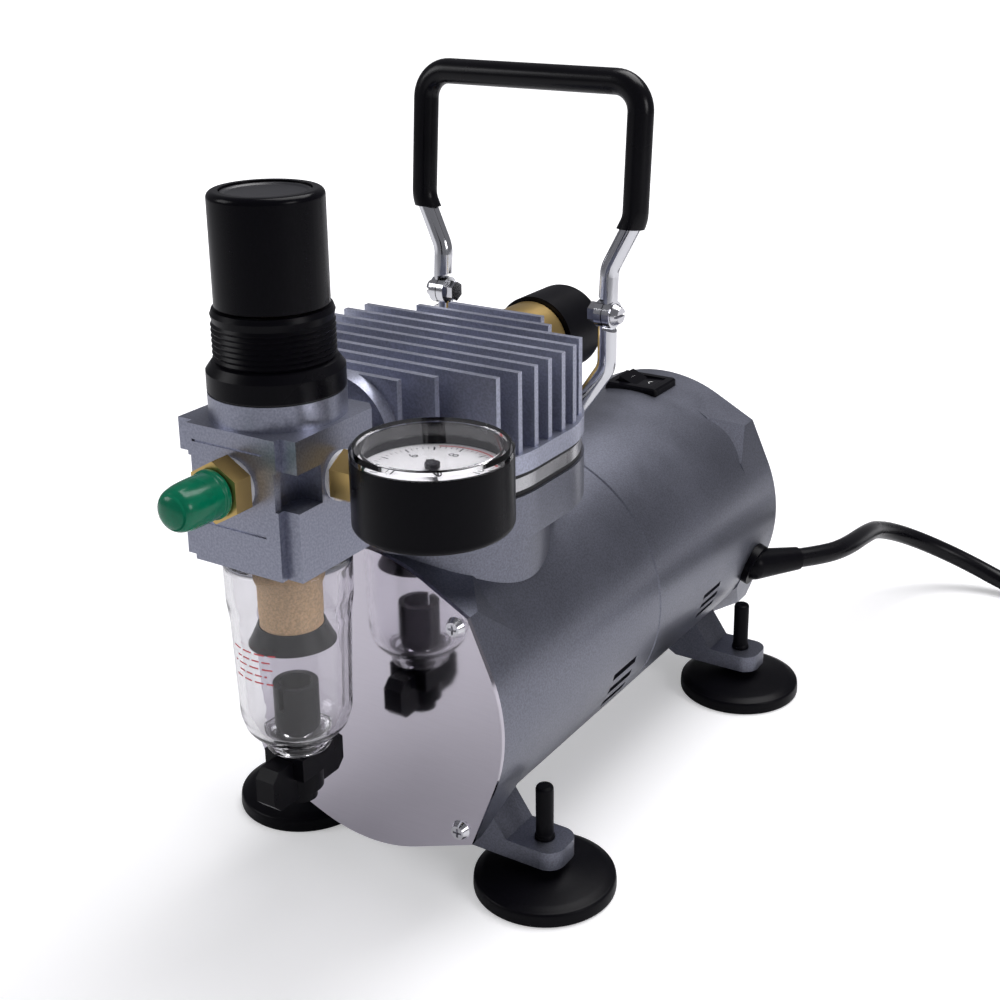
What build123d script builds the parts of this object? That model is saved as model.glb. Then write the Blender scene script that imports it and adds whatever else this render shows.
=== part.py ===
"""Airbrush compressor: one-cylinder piston pump and motor in a cast housing, with a filter
regulator, a pressure gauge, a folding handle, suction feet and a mains lead.

Millimetres. The model is drawn with the front plate's face at Y = 0, the housing's axis along Y
at X = 0 and the floor at Z = 0. The last step moves it back by Y_MID, so that the origin is the
centre of the base of the compressor's box.
"""
import math
import os
from build123d import *

# ---------------------------------------------------------------- driving dimensions
BODY_R = 50.0              # outer radius of the cylindrical housing
BODY_LENGTH = 200.4        # front plate's face to rear cover's face
AXIS_Z = 65.3              # height of the housing's axis, which is the motor shaft's
WALL = 3.5                 # cast wall
SEAM_Y = 100.2             # joint between the two housings
SEAM_CHAMFER = 0.6
PLATE_T = 1.5              # polished front plate
COVER_T = 4.4              # rear cover
CORNER_X = 38.7            # flange corners, from the axis
CORNER_TOP = 36.0
CORNER_LOW = 38.7
EAR_FLAT = 4.0             # full-height stretch of a corner ear
EAR_TAPER = 13.0           # stretch over which it runs out into the barrel
SCREW_INSET = 0.90         # screw places as a share of the corner's
SCREW_R = 1.6
SCREW_HEAD_R = 3.2
SCREW_HEAD_H = 2.0
THREAD_GAP = 0.05

HEAD_Y = 38.5              # cylinder's axis, from the front plate
HEAD_HALF = 44.6           # half the side of the rounded square head
HEAD_CORNER_R = 36.0
BOSS_R = 37.0              # round boss that carries the cylinder
DECK_Z0 = 118.5            # underside of the crankcase deck
DECK_Z1 = 132.0            # top of the crankcase deck
GASKET_T = 1.5
VALVE_PLATE_T = 4.0
GASKET_INSET = 0.9
HEAD_FLANGE_T = 5.7
FIN_COUNT = 11
FIN_PITCH = 7.7
FIN_T = 2.1
FIN_TOP = 169.0
FIN_INSET = 1.2
FIN_SHORT = (17.7, 25.0)   # half widths of the outermost fins, which clear the head bolts
CORE_HALF = 11.0
CORE_TOP = 163.0
BOLT_OFFSET = 31.0
BOLT_R = 2.0
BOLT_HEAD_R = 4.0
BOLT_HEAD_H = 4.0
PORT_Z = 151.5             # height of every air port
BORE_R = 16.05
SLEEVE_R = 21.0
SLEEVE_Z0 = 96.0

STROKE = 12.0
ROD_LENGTH = 51.0
PISTON_GAP = 0.10
CROWN = 9.0                # wrist pin's axis to the piston's crown
PIN_R = 3.0
ROD_T = 6.0
WEB_GAP = 4.5              # connecting rod's face to crank web
WEB_T = 6.0
SHAFT_R = 4.0
SHAFT_END_Y = 190.0
BEARING_R = 11.0
BEARING_W = 7.0
RUNNING_GAP = 0.05
FRONT_BEARING_Y = 61.0
REAR_BEARING_Y = 163.0
ROTOR_R = 20.4
STATOR_Y0 = 110.0
STATOR_Y1 = 150.0
AIR_GAP = 0.6
WINDING_T = 9.0
FAN_Y0 = 174.0
FAN_Y1 = 184.0
FAN_R = 30.0
FAN_BLADES = 7

FOOT_X = 47.9
FOOT_Y = (27.1, 174.7)
FOOT_R = 22.6
LUG_HALF = 7.8
LUG_Z0 = 10.8
LUG_TOP = 17.0
LUG_END = 8.4              # lug's reach past the foot's axis
STEM_R = 2.8
STEM_FLARE = 3.3
CUP_HOLLOW = 3.2           # cup's hollow, at its middle
CUP_RIM = 4.9
CUP_TOP = 7.6
STEM_TOP = 35.5

SWITCH_Y = 179.5
SWITCH_W = 22.0
SWITCH_D = 18.0
SWITCH_TOP = 117.0
ROCKER_TILT = 10.0

HANDLE_PIVOT_Y = 93.6
HANDLE_PIVOT_Z = 167.9
HANDLE_LEG_X = 32.0
HANDLE_GRIP_X = 40.2
HANDLE_TOP = 73.0          # pivot to the grip's centre line
HANDLE_LEAN = 4.5          # degrees, to the rear
HANDLE_BENDS = (10, 10, 9, 9, 10, 10)
GRIP_LOW = 28.0            # grip's lower ends, over the pivot
ROD_R = 3.1
GRIP_R = 4.15
EYE_R = 4.6
EYE_T = 2.6
EYE_GAP = 0.3
PIVOT_R = 1.9
SADDLE_TOP = 126.0
SADDLE_HALF_X = 13.0
SADDLE_FRONT = 7.4
SADDLE_REAR = 5.4
SADDLE_SCREW_X = 8.0
SADDLE_SCREW_Y = 5.4

REG_Y = -30.2              # axis of the regulator
BLOCK_HALF = 20.0
BLOCK_FRONT = -47.6
BLOCK_REAR = -12.8
BLOCK_Z0 = 127.0
BLOCK_Z1 = 166.0
PANEL_HALF = 15.0
PANEL_T = 2.3
NOTCH_X = 12.3
NOTCH_Y = -38.0
NOTCH_Z = (146.4, 157.0)
COLLAR_R = 18.5
COLLAR_TOP = 172.9
PORT_R = 5.0
BONNET_R = 16.4
BONNET_TOP = 195.2
DIAPHRAGM_T = 0.6
KNOB_R = 15.25
KNOB_Z0 = 196.0
KNOB_Z1 = 225.9
KNOB_WALL = 2.0
SCREW_STEM_R = 4.0

HEX_FLAT = 15.0
TAPE_T = 1.2
OUTLET_HEX_T = 6.0
OUTLET_LENGTH = 17.0
OUTLET_THREAD_R = 4.86
CAP_R = 6.8
CAP_WALL = 1.6
CAP_LENGTH = 17.0

GAUGE_X = 49.5
GAUGE_Y = -29.9
GAUGE_R = 21.0
GAUGE_Z0 = 143.5
GAUGE_Z1 = 163.4
LENS_RISE = 2.4
DIAL_Z = 157.6
NEEDLE_LENGTH = 14.0
NEEDLE_ANGLE = -48.0

BOWL_NECK_R = 18.0
BOWL_STEP_Z = 110.5
BOWL_TOP_R = 16.9
BOWL_LOW_R = 15.9
BOWL_SHOULDER_Z = 77.0
BOWL_RING_R = 9.3
BOWL_RING_Z = 65.0
BOWL_WALL = 2.0
FILTER_R = 9.1
FILTER_Z0 = 104.4
BAFFLE_R = 12.4
BAFFLE_Z0 = 99.0
DRAIN_R = 6.5
DRAIN_TOP = 85.5
DRAIN_LOW = 51.5
DRAIN_TIP = 47.8
WING_HALF = 15.6
WING_T = 6.5
WING_DROP = 1.6            # wings' top under the cock's

INTAKE_Z = 153.0
INTAKE_NUT_R = 13.3
INTAKE_NUT_Y0 = 86.0
INTAKE_NUT_Y1 = 101.0
INTAKE_R = 14.6
INTAKE_END_Y = 124.0

CORD_D = 7.6
RELIEF_Y = 184.0
RELIEF_ANGLE = 19.0         # degrees below the axis, seen from the front
RELIEF_DIR = (0.53, 0.84, -0.08)
RELIEF_LENGTH = 20.0
RELIEF_BORE_R = 6.0
RELIEF_FLANGE_R = 8.2
RELIEF_FLANGE_T = 2.4
EXIT_RUN = 14.0            # lead's straight run beyond the strain relief
COIL_MEAN_R = 42.0
COIL_TURNS_WIDE = 2
COIL_TURNS_HIGH = 3
TIE_W = 10.0
TIE_T = 1.2
TIE_GAP = 0.6
PLUG_W = 24.0
PLUG_L = 32.0
PLUG_H = 16.0
PLUG_NECK = 16.0
PIN_SPREAD = 12.7
PIN_T = 1.5
PIN_L = 17.0
PIN_H = 3.2

# ---------------------------------------------------------------- derived places
BORE_Y0 = PLATE_T + WALL
BODY_BORE = BODY_R - WALL
COVER_Y = BODY_LENGTH - COVER_T
GASKET_HALF = HEAD_HALF - GASKET_INSET
VALVE_Z = DECK_Z1 + GASKET_T
HEAD_Z = VALVE_Z + VALVE_PLATE_T + GASKET_T
HEAD_TOP = HEAD_Z + HEAD_FLANGE_T
CRANK_R = STROKE / 2
CRANK_Z = AXIS_Z + CRANK_R
WRIST_Z = CRANK_Z + ROD_LENGTH
PANEL_Y = BLOCK_FRONT - PANEL_T
CAP_FRONT = PANEL_Y - TAPE_T - OUTLET_HEX_T - CAP_LENGTH
Y_MID = (CAP_FRONT + BODY_LENGTH + SCREW_HEAD_H) / 2
AIR_X = (-1, 1)


# ---------------------------------------------------------------- helpers
def box(x0, x1, y0, y1, z0, z1):
    """Box between two corners."""
    return Pos((x0 + x1) / 2, (y0 + y1) / 2, (z0 + z1) / 2) * Box(x1 - x0, y1 - y0, z1 - z0)


def rod(r, start, end):
    """Round bar from one point to another."""
    direction = Vector(*end) - Vector(*start)
    base = (Align.CENTER, Align.CENTER, Align.MIN)
    return Plane(origin=start, z_dir=direction) * Cylinder(r, direction.length, align=base)


def rod_y(r, y0, y1, x=0.0, z=AXIS_Z):
    """Round bar along Y."""
    return rod(r, (x, y0, z), (x, y1, z))


def rod_z(r, z0, z1, x=0.0, y=0.0):
    """Round bar along Z."""
    return rod(r, (x, y, z0), (x, y, z1))


def cone(r0, r1, start, end):
    """Tapered round bar from one point to another."""
    direction = Vector(*end) - Vector(*start)
    base = (Align.CENTER, Align.CENTER, Align.MIN)
    return Plane(origin=start, z_dir=direction) * Cone(r0, r1, direction.length, align=base)


def hex_bar(across_flats, start, end):
    """Hexagonal bar from one point to another."""
    direction = Vector(*end) - Vector(*start)
    section = RegularPolygon(across_flats / 2, 6, major_radius=False)
    return Plane(origin=start, z_dir=direction) * extrude(section, amount=direction.length)


def lathe(points):
    """Solid of revolution about Z from its half outline of radius and height."""
    outline = Polyline([(r, 0, z) for r, z in points], close=True)
    return revolve(make_face(outline), Axis.Z)


def slab_y(sketch, y0, y1):
    """Outline in X and Z, carried from one Y to another."""
    return Pos(0, y0, 0) * extrude(Plane.XZ * sketch, amount=y0 - y1)


def slab_z(sketch, z0, z1):
    """Outline in X and Y, carried from one Z to another."""
    return Pos(0, 0, z0) * extrude(sketch, amount=z1 - z0)


def polygon(points):
    """Flat face inside a closed run of points in X and Y."""
    return make_face(Polyline([(x, y, 0) for x, y in points], close=True))


def corners():
    """The four flange corners, from the housing's axis."""
    return [(sx * CORNER_X, z) for sx in AIR_X for z in (CORNER_TOP, -CORNER_LOW)]


def tangent_ear(corner):
    """Flat piece between the barrel's circle and one corner, by the two tangents."""
    reach = math.hypot(*corner)
    angle = math.atan2(corner[1], corner[0])
    spread = math.acos(BODY_R / reach)
    touch = [(BODY_R * math.cos(a), BODY_R * math.sin(a)) for a in (angle - spread, angle + spread)]
    points = [(0, 0), touch[0], corner, touch[1]]
    return polygon([(x, z + AXIS_Z) for x, z in points])


def flange_outline():
    """Circle with four tangent corners."""
    outline = Pos(0, AXIS_Z) * Circle(BODY_R)
    for corner in corners():
        outline += tangent_ear(corner)
    return outline


def screw_places():
    """Flange screws, in X and Z."""
    return [(x * SCREW_INSET, z * SCREW_INSET + AXIS_Z) for x, z in corners()]


def running_out_ear(corner, face_y, sign):
    """Corner ear that is full height at the face and runs out into the barrel."""
    reach = math.hypot(*corner)
    angle = math.degrees(math.atan2(corner[1], corner[0]))
    depth = EAR_FLAT + EAR_TAPER
    ear = slab_y(tangent_ear(corner), min(face_y, face_y + sign * depth), max(face_y, face_y + sign * depth))
    side = [(0, 0), (reach + 1, 0), (reach, EAR_FLAT), (BODY_R - 1, depth), (0, depth)]
    wedge = extrude(polygon([(r, sign * y) for r, y in side]), amount=BODY_R, both=True)
    return ear & (Pos(0, face_y, AXIS_Z) * Rot(0, -angle, 0) * wedge)


def rounded_square(half, radius):
    """Head outline, centred on the cylinder's axis."""
    return Pos(0, HEAD_Y) * RectangleRounded(2 * half, 2 * half, radius)


def bolt_places():
    """Head bolts, in X and Y."""
    return [(sx * BOLT_OFFSET, HEAD_Y + sy * BOLT_OFFSET) for sx in AIR_X for sy in AIR_X]


def drilled(solid, places, r, z0, z1):
    """Solid with upright holes."""
    for x, y in places:
        solid -= rod_z(r, z0, z1, x, y)
    return solid


def screwed(solid, y0, y1, r):
    """Solid with the flange screws' holes."""
    for x, z in screw_places():
        solid -= rod_y(r, y0, y1, x, z)
    return solid


# ---------------------------------------------------------------- housings
def lugs(foot_y):
    """Pair of cast lugs that hold a pair of feet."""
    root_x = 12.0
    root_z = AXIS_Z - math.sqrt(BODY_R ** 2 - root_x ** 2) + 1
    end_x = FOOT_X + LUG_END
    ramp_foot = FOOT_X - 1.2 * LUG_HALF
    ramp_head = ramp_foot - 6.8
    ramp_top = LUG_TOP + 9.7
    side = [(root_x, root_z), (24, LUG_Z0), (end_x, LUG_Z0), (end_x, LUG_TOP), (ramp_foot, LUG_TOP),
            (ramp_head, ramp_top), (root_x, ramp_top)]
    web = slab_y(polygon(side), foot_y - LUG_HALF, foot_y + LUG_HALF)
    plan = Pos(end_x / 2, foot_y) * RectangleRounded(end_x, 2 * LUG_HALF, 5.5)
    plan += Pos(end_x / 4, foot_y) * Rectangle(end_x / 2, 2 * LUG_HALF)
    lug = web & slab_z(plan, 0, ramp_top + 1)
    lug -= rod_z(STEM_R + 0.2, 0, LUG_TOP + 1, FOOT_X, foot_y)
    return lug + mirror(lug, Plane.YZ)


def vents(y0, y1, heights, slot_h):
    """Cooling slots through both sides of a barrel."""
    cut = None
    for z in heights:
        slot = box(-BODY_R - 1, BODY_R + 1, y0, y1, z - slot_h / 2, z + slot_h / 2)
        cut = slot if cut is None else cut + slot
    return cut


def front_housing():
    body = rod_y(BODY_R, PLATE_T, SEAM_Y)
    body = chamfer(body.edges().filter_by(GeomType.CIRCLE).sort_by(Axis.Y)[-1], SEAM_CHAMFER)
    for corner in corners():
        body += running_out_ear(corner, PLATE_T, 1)
    body += rod_z(BOSS_R, AXIS_Z, DECK_Z0, 0, HEAD_Y)
    body += slab_z(rounded_square(HEAD_HALF, HEAD_CORNER_R), DECK_Z0, DECK_Z1)
    body += lugs(FOOT_Y[0])
    body -= rod_y(BODY_BORE, BORE_Y0, SEAM_Y)
    body -= rod_y(BODY_BORE - 8, PLATE_T, BORE_Y0)
    wall_y = FRONT_BEARING_Y - 1
    bulkhead = rod_y(BODY_BORE, wall_y, wall_y + WALL + 1)
    bulkhead += rod_y(BEARING_R + WALL, wall_y, FRONT_BEARING_Y + BEARING_W)
    body += bulkhead
    body -= rod_y(BEARING_R, FRONT_BEARING_Y, FRONT_BEARING_Y + BEARING_W)
    body -= rod_y(BEARING_R - 3, wall_y, FRONT_BEARING_Y)
    seat = rod_z(SLEEVE_R + WALL, SLEEVE_Z0, DECK_Z0, 0, HEAD_Y)
    body += seat & rod_y(BODY_R, BORE_Y0, wall_y)
    body -= rod_z(SLEEVE_R, SLEEVE_Z0, DECK_Z1, 0, HEAD_Y)
    body = drilled(body, bolt_places(), BOLT_R + THREAD_GAP, DECK_Z0 + 1, DECK_Z1)
    body = screwed(body, PLATE_T, PLATE_T + 12, SCREW_R + THREAD_GAP)
    body -= vents(70.5, 86, (52.2, 46.8, 41.4), 2.6) & (rod_y(BODY_R + 1, 60, 95) - rod_y(BODY_BORE - 1, 60, 95))
    body = drilled(body, saddle_places(), SCREW_R + THREAD_GAP, AXIS_Z + BODY_BORE - 1, SADDLE_TOP)
    return body


def rear_housing():
    body = rod_y(BODY_R, SEAM_Y, COVER_Y)
    body = chamfer(body.edges().filter_by(GeomType.CIRCLE).sort_by(Axis.Y)[0], SEAM_CHAMFER)
    for corner in corners():
        body += running_out_ear(corner, COVER_Y, -1)
    body += lugs(FOOT_Y[1])
    body -= rod_y(BODY_BORE, SEAM_Y, COVER_Y)
    lip = rod_y(BODY_BORE - THREAD_GAP, SEAM_Y - 5, SEAM_Y + 1) - rod_y(BODY_BORE - 2.5, SEAM_Y - 5, SEAM_Y + 1)
    bridge = rod_y(BODY_BORE + 1, SEAM_Y, SEAM_Y + 1) - rod_y(BODY_BORE - 2.5, SEAM_Y, SEAM_Y + 1)
    body += lip + bridge
    body = screwed(body, COVER_Y - 12, COVER_Y, SCREW_R + THREAD_GAP)
    body -= vents(138, 152, (53.4, 49.4, 45.4), 2.0) & (rod_y(BODY_R + 1, 130, 160) - rod_y(BODY_BORE - 1, 130, 160))
    half_w = SWITCH_W / 2
    half_d = SWITCH_D / 2
    body -= box(-half_w, half_w, SWITCH_Y - half_d, SWITCH_Y + half_d, switch_seat(), SWITCH_TOP)
    body -= box(2 - half_w, half_w - 2, SWITCH_Y + 2 - half_d, SWITCH_Y + half_d - 2, AXIS_Z, switch_seat())
    return body - rod(RELIEF_BORE_R, relief_wall(-2 * WALL), relief_wall(WALL))


def rear_cover():
    cover = slab_y(flange_outline(), COVER_Y, BODY_LENGTH)
    cover = chamfer(cover.faces().sort_by(Axis.Y)[-1].edges(), 0.8)
    cover = screwed(cover, COVER_Y, BODY_LENGTH, SCREW_R + 0.3)
    slot_r = 33.0
    for row in range(-4, 5):
        z = row * 6.6
        half = math.sqrt(slot_r ** 2 - z ** 2)
        cover -= box(-half, half, COVER_Y, BODY_LENGTH, AXIS_Z + z - 1.3, AXIS_Z + z + 1.3)
    return cover


def front_plate():
    return screwed(slab_y(flange_outline(), 0, PLATE_T), 0, PLATE_T, SCREW_R + 0.3)


def flange_screws(face_y, sign):
    """Four cross-head screws under one flange's corners."""
    parts = []
    for x, z in screw_places():
        head = cone(SCREW_HEAD_R - 1, SCREW_HEAD_R, (x, face_y - sign * SCREW_HEAD_H, z), (x, face_y, z))
        shank = rod(SCREW_R, (x, face_y, z), (x, face_y + sign * 11, z))
        deep = sorted((face_y - sign * SCREW_HEAD_H, face_y - sign * 0.8))
        cross = box(x - 1.5, x + 1.5, *deep, z - 0.35, z + 0.35)
        cross += box(x - 0.35, x + 0.35, *deep, z - 1.5, z + 1.5)
        parts.append(head + shank - cross)
    return parts


# ---------------------------------------------------------------- pump
def cylinder_sleeve():
    return rod_z(SLEEVE_R, SLEEVE_Z0, DECK_Z1, 0, HEAD_Y) - rod_z(BORE_R, SLEEVE_Z0, DECK_Z1, 0, HEAD_Y)


def head_sheet(z0, z1, openings):
    """Gasket or plate between the deck and the head."""
    sheet = slab_z(rounded_square(GASKET_HALF, HEAD_CORNER_R - GASKET_INSET), z0, z1)
    sheet = drilled(sheet, bolt_places(), BOLT_R + 0.3, z0, z1)
    for r, x in openings:
        sheet -= rod_z(r, z0, z1, x, HEAD_Y)
    return sheet


def head_gaskets():
    """Gaskets under and over the valve plate."""
    low = head_sheet(DECK_Z1, VALVE_Z, [(SLEEVE_R, 0)])
    return Compound([low, head_sheet(VALVE_Z + VALVE_PLATE_T, HEAD_Z, [(15, 0)])])


def valve_plate():
    """Ported plate with its two riveted reeds."""
    z = VALVE_Z + VALVE_PLATE_T
    plate = head_sheet(VALVE_Z, z, [(2.5, -8), (2.5, 8)])
    for x in (-8, 8):
        leaf = Pos(x, HEAD_Y) * RectangleRounded(7, 22, 3)
        plate += slab_z(leaf, z, z + 0.4)
    return plate


def fin_half(offset):
    """Half width of the fin at this distance from the head's middle."""
    step = round((FIN_COUNT // 2) - abs(offset) / FIN_PITCH)
    if step < len(FIN_SHORT):
        return FIN_SHORT[step]
    centre = HEAD_HALF - HEAD_CORNER_R
    reach = max(abs(offset) - centre, 0)
    return centre + math.sqrt(HEAD_CORNER_R ** 2 - reach ** 2) - FIN_INSET


def cylinder_head():
    head = slab_z(rounded_square(HEAD_HALF, HEAD_CORNER_R), HEAD_Z, HEAD_TOP)
    half_span = FIN_PITCH * (FIN_COUNT - 1) / 2
    head += box(-CORE_HALF, CORE_HALF, HEAD_Y - half_span, HEAD_Y + half_span, HEAD_TOP, CORE_TOP)
    for index in range(FIN_COUNT):
        offset = index * FIN_PITCH - half_span
        half = fin_half(offset)
        fin = box(-half, half, HEAD_Y + offset - FIN_T / 2, HEAD_Y + offset + FIN_T / 2, HEAD_TOP, FIN_TOP)
        head += fin
    above = box(-HEAD_HALF, HEAD_HALF, -20, 120, HEAD_TOP - 1, FIN_TOP + 5)
    front_y = HEAD_Y - half_span
    rear_y = HEAD_Y + half_span
    head += rod_y(18, HEAD_Y - HEAD_HALF, front_y, 0, PORT_Z) & above
    head += rod_y(INTAKE_NUT_R, rear_y, INTAKE_NUT_Y0, 0, INTAKE_Z) & above
    head -= rod_y(PORT_R, HEAD_Y - HEAD_HALF, front_y + 24, 0, PORT_Z)
    head -= rod_y(PORT_R, rear_y - 24, INTAKE_NUT_Y0, 0, INTAKE_Z)
    for sign in AIR_X:
        pocket_y = HEAD_Y + sign * 14
        head -= box(-9, 9, pocket_y - 9, pocket_y + 9, HEAD_Z, HEAD_Z + 8)
        head -= rod_z(PORT_R - 1, HEAD_Z + 7, PORT_Z, 0, HEAD_Y + sign * 17)
    return drilled(head, bolt_places(), BOLT_R + 0.3, HEAD_Z, HEAD_TOP)


def head_bolts():
    parts = []
    for x, y in bolt_places():
        bolt = rod_z(BOLT_R, DECK_Z0 + 3, HEAD_TOP, x, y) + rod_z(BOLT_HEAD_R, HEAD_TOP, HEAD_TOP + BOLT_HEAD_H, x, y)
        socket = Pos(x, y, HEAD_TOP + 1.5) * extrude(RegularPolygon(1.7, 6, major_radius=False), amount=3)
        parts.append(bolt - socket)
    return Compound(parts)


def piston():
    r = BORE_R - PISTON_GAP
    crown = WRIST_Z + CROWN
    body = rod_z(r, WRIST_Z - 7, crown, 0, HEAD_Y)
    body -= rod_z(r, crown - 5, crown - 3, 0, HEAD_Y) - rod_z(r - 1.6, crown - 5, crown - 3, 0, HEAD_Y)
    body -= box(-9, 9, HEAD_Y - ROD_T / 2 - 1, HEAD_Y + ROD_T / 2 + 1, WRIST_Z - 7, WRIST_Z + 7)
    return body - rod_y(PIN_R, HEAD_Y - BORE_R - 1, HEAD_Y + BORE_R + 1, 0, WRIST_Z)


def piston_ring():
    r = BORE_R - PISTON_GAP
    crown = WRIST_Z + CROWN
    return rod_z(BORE_R - 0.06, crown - 5, crown - 3, 0, HEAD_Y) - rod_z(r - 1.6, crown - 5, crown - 3, 0, HEAD_Y)


def wrist_pin():
    return rod_y(PIN_R, HEAD_Y - BORE_R + 2, HEAD_Y + BORE_R - 2, 0, WRIST_Z)


def connecting_rod():
    y0 = HEAD_Y - ROD_T / 2
    y1 = HEAD_Y + ROD_T / 2
    body = rod_y(6, y0, y1, 0, WRIST_Z) + rod_y(7.5, y0, y1, 0, CRANK_Z)
    body += box(-3.2, 3.2, y0, y1, CRANK_Z, WRIST_Z)
    body -= rod_y(PIN_R + RUNNING_GAP, y0, y1, 0, WRIST_Z)
    return body - rod_y(PIN_R + 0.1, y0, y1, 0, CRANK_Z)


def crank_web():
    """Crank web with its counterweight and a pin that stops short of the rod."""
    y0 = HEAD_Y + ROD_T / 2 + WEB_GAP
    web = rod_y(9, y0, y0 + WEB_T)
    weight = rod_y(18, y0, y0 + WEB_T) & box(-18, 18, y0, y0 + WEB_T, 0, AXIS_Z - 2)
    arm = box(-6, 6, y0, y0 + WEB_T, AXIS_Z - 6, CRANK_Z) + rod_y(6, y0, y0 + WEB_T, 0, CRANK_Z)
    web += weight + arm
    web += rod_y(PIN_R, y0 - WEB_GAP + 1, y0, 0, CRANK_Z)
    return web - rod_y(SHAFT_R, y0, y0 + WEB_T)


# ---------------------------------------------------------------- motor
def motor_shaft():
    return rod_y(SHAFT_R, HEAD_Y + ROD_T / 2 + WEB_GAP, SHAFT_END_Y)


def bearing(y0):
    outer = rod_y(BEARING_R, y0, y0 + BEARING_W)
    groove_y = y0 + BEARING_W
    outer -= rod_y(BEARING_R - 2, groove_y - 0.8, groove_y) - rod_y(SHAFT_R + 2, groove_y - 0.8, groove_y)
    return outer - rod_y(SHAFT_R + RUNNING_GAP, y0, y0 + BEARING_W)


def rotor():
    return rod_y(ROTOR_R, STATOR_Y0 - 1, STATOR_Y1 + 1) - rod_y(SHAFT_R, STATOR_Y0 - 1, STATOR_Y1 + 1)


def stator():
    core = rod_y(BODY_BORE, STATOR_Y0, STATOR_Y1) - rod_y(ROTOR_R + AIR_GAP, STATOR_Y0, STATOR_Y1)
    for side in range(4):
        angle = math.radians(45 + 90 * side)
        x = (BODY_BORE + 2) * math.cos(angle)
        z = (BODY_BORE + 2) * math.sin(angle)
        core -= rod_y(6, STATOR_Y0, STATOR_Y1, x, AXIS_Z + z)
    return core


def stator_windings():
    parts = []
    for y0, y1 in ((STATOR_Y0 - WINDING_T, STATOR_Y0), (STATOR_Y1, STATOR_Y1 + WINDING_T)):
        ring = rod_y(ROTOR_R + 19, y0, y1) - rod_y(ROTOR_R + 4, y0, y1)
        parts.append(fillet(ring.edges().filter_by(GeomType.CIRCLE), 3))
    return Compound(parts)


def rear_bracket():
    y0 = REAR_BEARING_Y
    plate = rod_y(BODY_BORE, y0, y0 + WALL) + rod_y(BEARING_R + WALL, y0 - 1, y0 + BEARING_W)
    for spoke in range(6):
        window = rod_y(8, y0, y0 + WALL, 0, 28)
        plate -= Pos(0, 0, AXIS_Z) * Rot(0, 60 * spoke + 30, 0) * window
    plate -= rod_y(BEARING_R, y0, y0 + BEARING_W)
    return plate - rod_y(BEARING_R - 3, y0 - 1, y0)


def cooling_fan():
    fan = rod_y(9, FAN_Y0, FAN_Y1)
    middle = (FAN_Y0 + FAN_Y1) / 2
    blade = Pos(FAN_R / 2 + 3, 0, 0) * Rot(35, 0, 0) * Box(FAN_R - 6, FAN_Y1 - FAN_Y0 + 1, 1.4)
    blade = blade & rod_y(FAN_R, -4.8, 4.8, 0, 0)
    for index in range(FAN_BLADES):
        fan += Pos(0, middle, AXIS_Z) * Rot(0, 360 / FAN_BLADES * index, 0) * blade
    return fan - rod_y(SHAFT_R, FAN_Y0, FAN_Y1)


# ---------------------------------------------------------------- switch
def switch_seat():
    """Height of the flat that the switch's bezel sits on."""
    return AXIS_Z + math.sqrt(BODY_R ** 2 - (SWITCH_W / 2) ** 2) - 0.4


def switch_bezel():
    z0 = switch_seat()
    outline = Pos(0, SWITCH_Y) * RectangleRounded(SWITCH_W, SWITCH_D, 1.2)
    body = slab_z(outline, z0, SWITCH_TOP)
    body = chamfer(body.faces().sort_by(Axis.Z)[-1].edges(), 0.6)
    half_w = SWITCH_W / 2 - 2
    half_d = SWITCH_D / 2 - 2
    body += box(-half_w, half_w, SWITCH_Y - half_d, SWITCH_Y + half_d, z0 - 13, z0)
    cavity = box(1 - half_w, half_w - 1, SWITCH_Y + 1 - half_d, SWITCH_Y + half_d - 1, z0 - 5, SWITCH_TOP)
    return body - cavity


def switch_rocker():
    """Rocker that stands with its left end up."""
    z0 = switch_seat()
    half_w = SWITCH_W / 2 - 4.0
    half_d = SWITCH_D / 2 - 3.4
    outline = [(-half_w, z0 - 1), (-half_w, z0 + 4.2), (0, z0 + 2.6), (half_w, z0 + 4.2), (half_w, z0 - 1), (0, z0 - 2.4)]
    rocker = slab_y(polygon(outline), SWITCH_Y - half_d, SWITCH_Y + half_d)
    return Pos(0, SWITCH_Y, z0) * Rot(0, ROCKER_TILT, 0) * Pos(0, -SWITCH_Y, -z0) * rocker


# ---------------------------------------------------------------- handle
def saddle_places():
    """Screws that hold the handle's saddle down."""
    return [(sx * SADDLE_SCREW_X, HANDLE_PIVOT_Y - SADDLE_SCREW_Y) for sx in AIR_X]


def handle_saddle():
    """Clamp block that holds the bracket's cross bar on the housing."""
    y0 = HANDLE_PIVOT_Y - SADDLE_FRONT
    y1 = HANDLE_PIVOT_Y + SADDLE_REAR
    body = box(-SADDLE_HALF_X, SADDLE_HALF_X, y0, y1, AXIS_Z, SADDLE_TOP)
    body = chamfer(body.edges().filter_by(Axis.X).sort_by(Axis.Z)[-2:], 2) - rod_y(BODY_R, y0, y1)
    return drilled(body - bracket_rod(ROD_R + THREAD_GAP), saddle_places(), SCREW_R + THREAD_GAP, AXIS_Z, SADDLE_TOP)


def saddle_screws():
    parts = []
    for x, y in saddle_places():
        shank = rod_z(SCREW_R, AXIS_Z + BODY_BORE + 1, SADDLE_TOP, x, y)
        parts.append(shank + rod_z(SCREW_HEAD_R, SADDLE_TOP, SADDLE_TOP + SCREW_HEAD_H, x, y))
    return parts


def bracket_bar_z():
    """Centre height of the bracket's cross bar."""
    return SADDLE_TOP - ROD_R - 2.2


def bent_rod(points, radii, r):
    """Round rod along straight runs joined by arcs."""
    path = FilletPolyline(*points, radius=radii)
    start = path @ 0
    section = Plane(origin=start, z_dir=path % 0) * Circle(r)
    return sweep(section, path=path)


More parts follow.
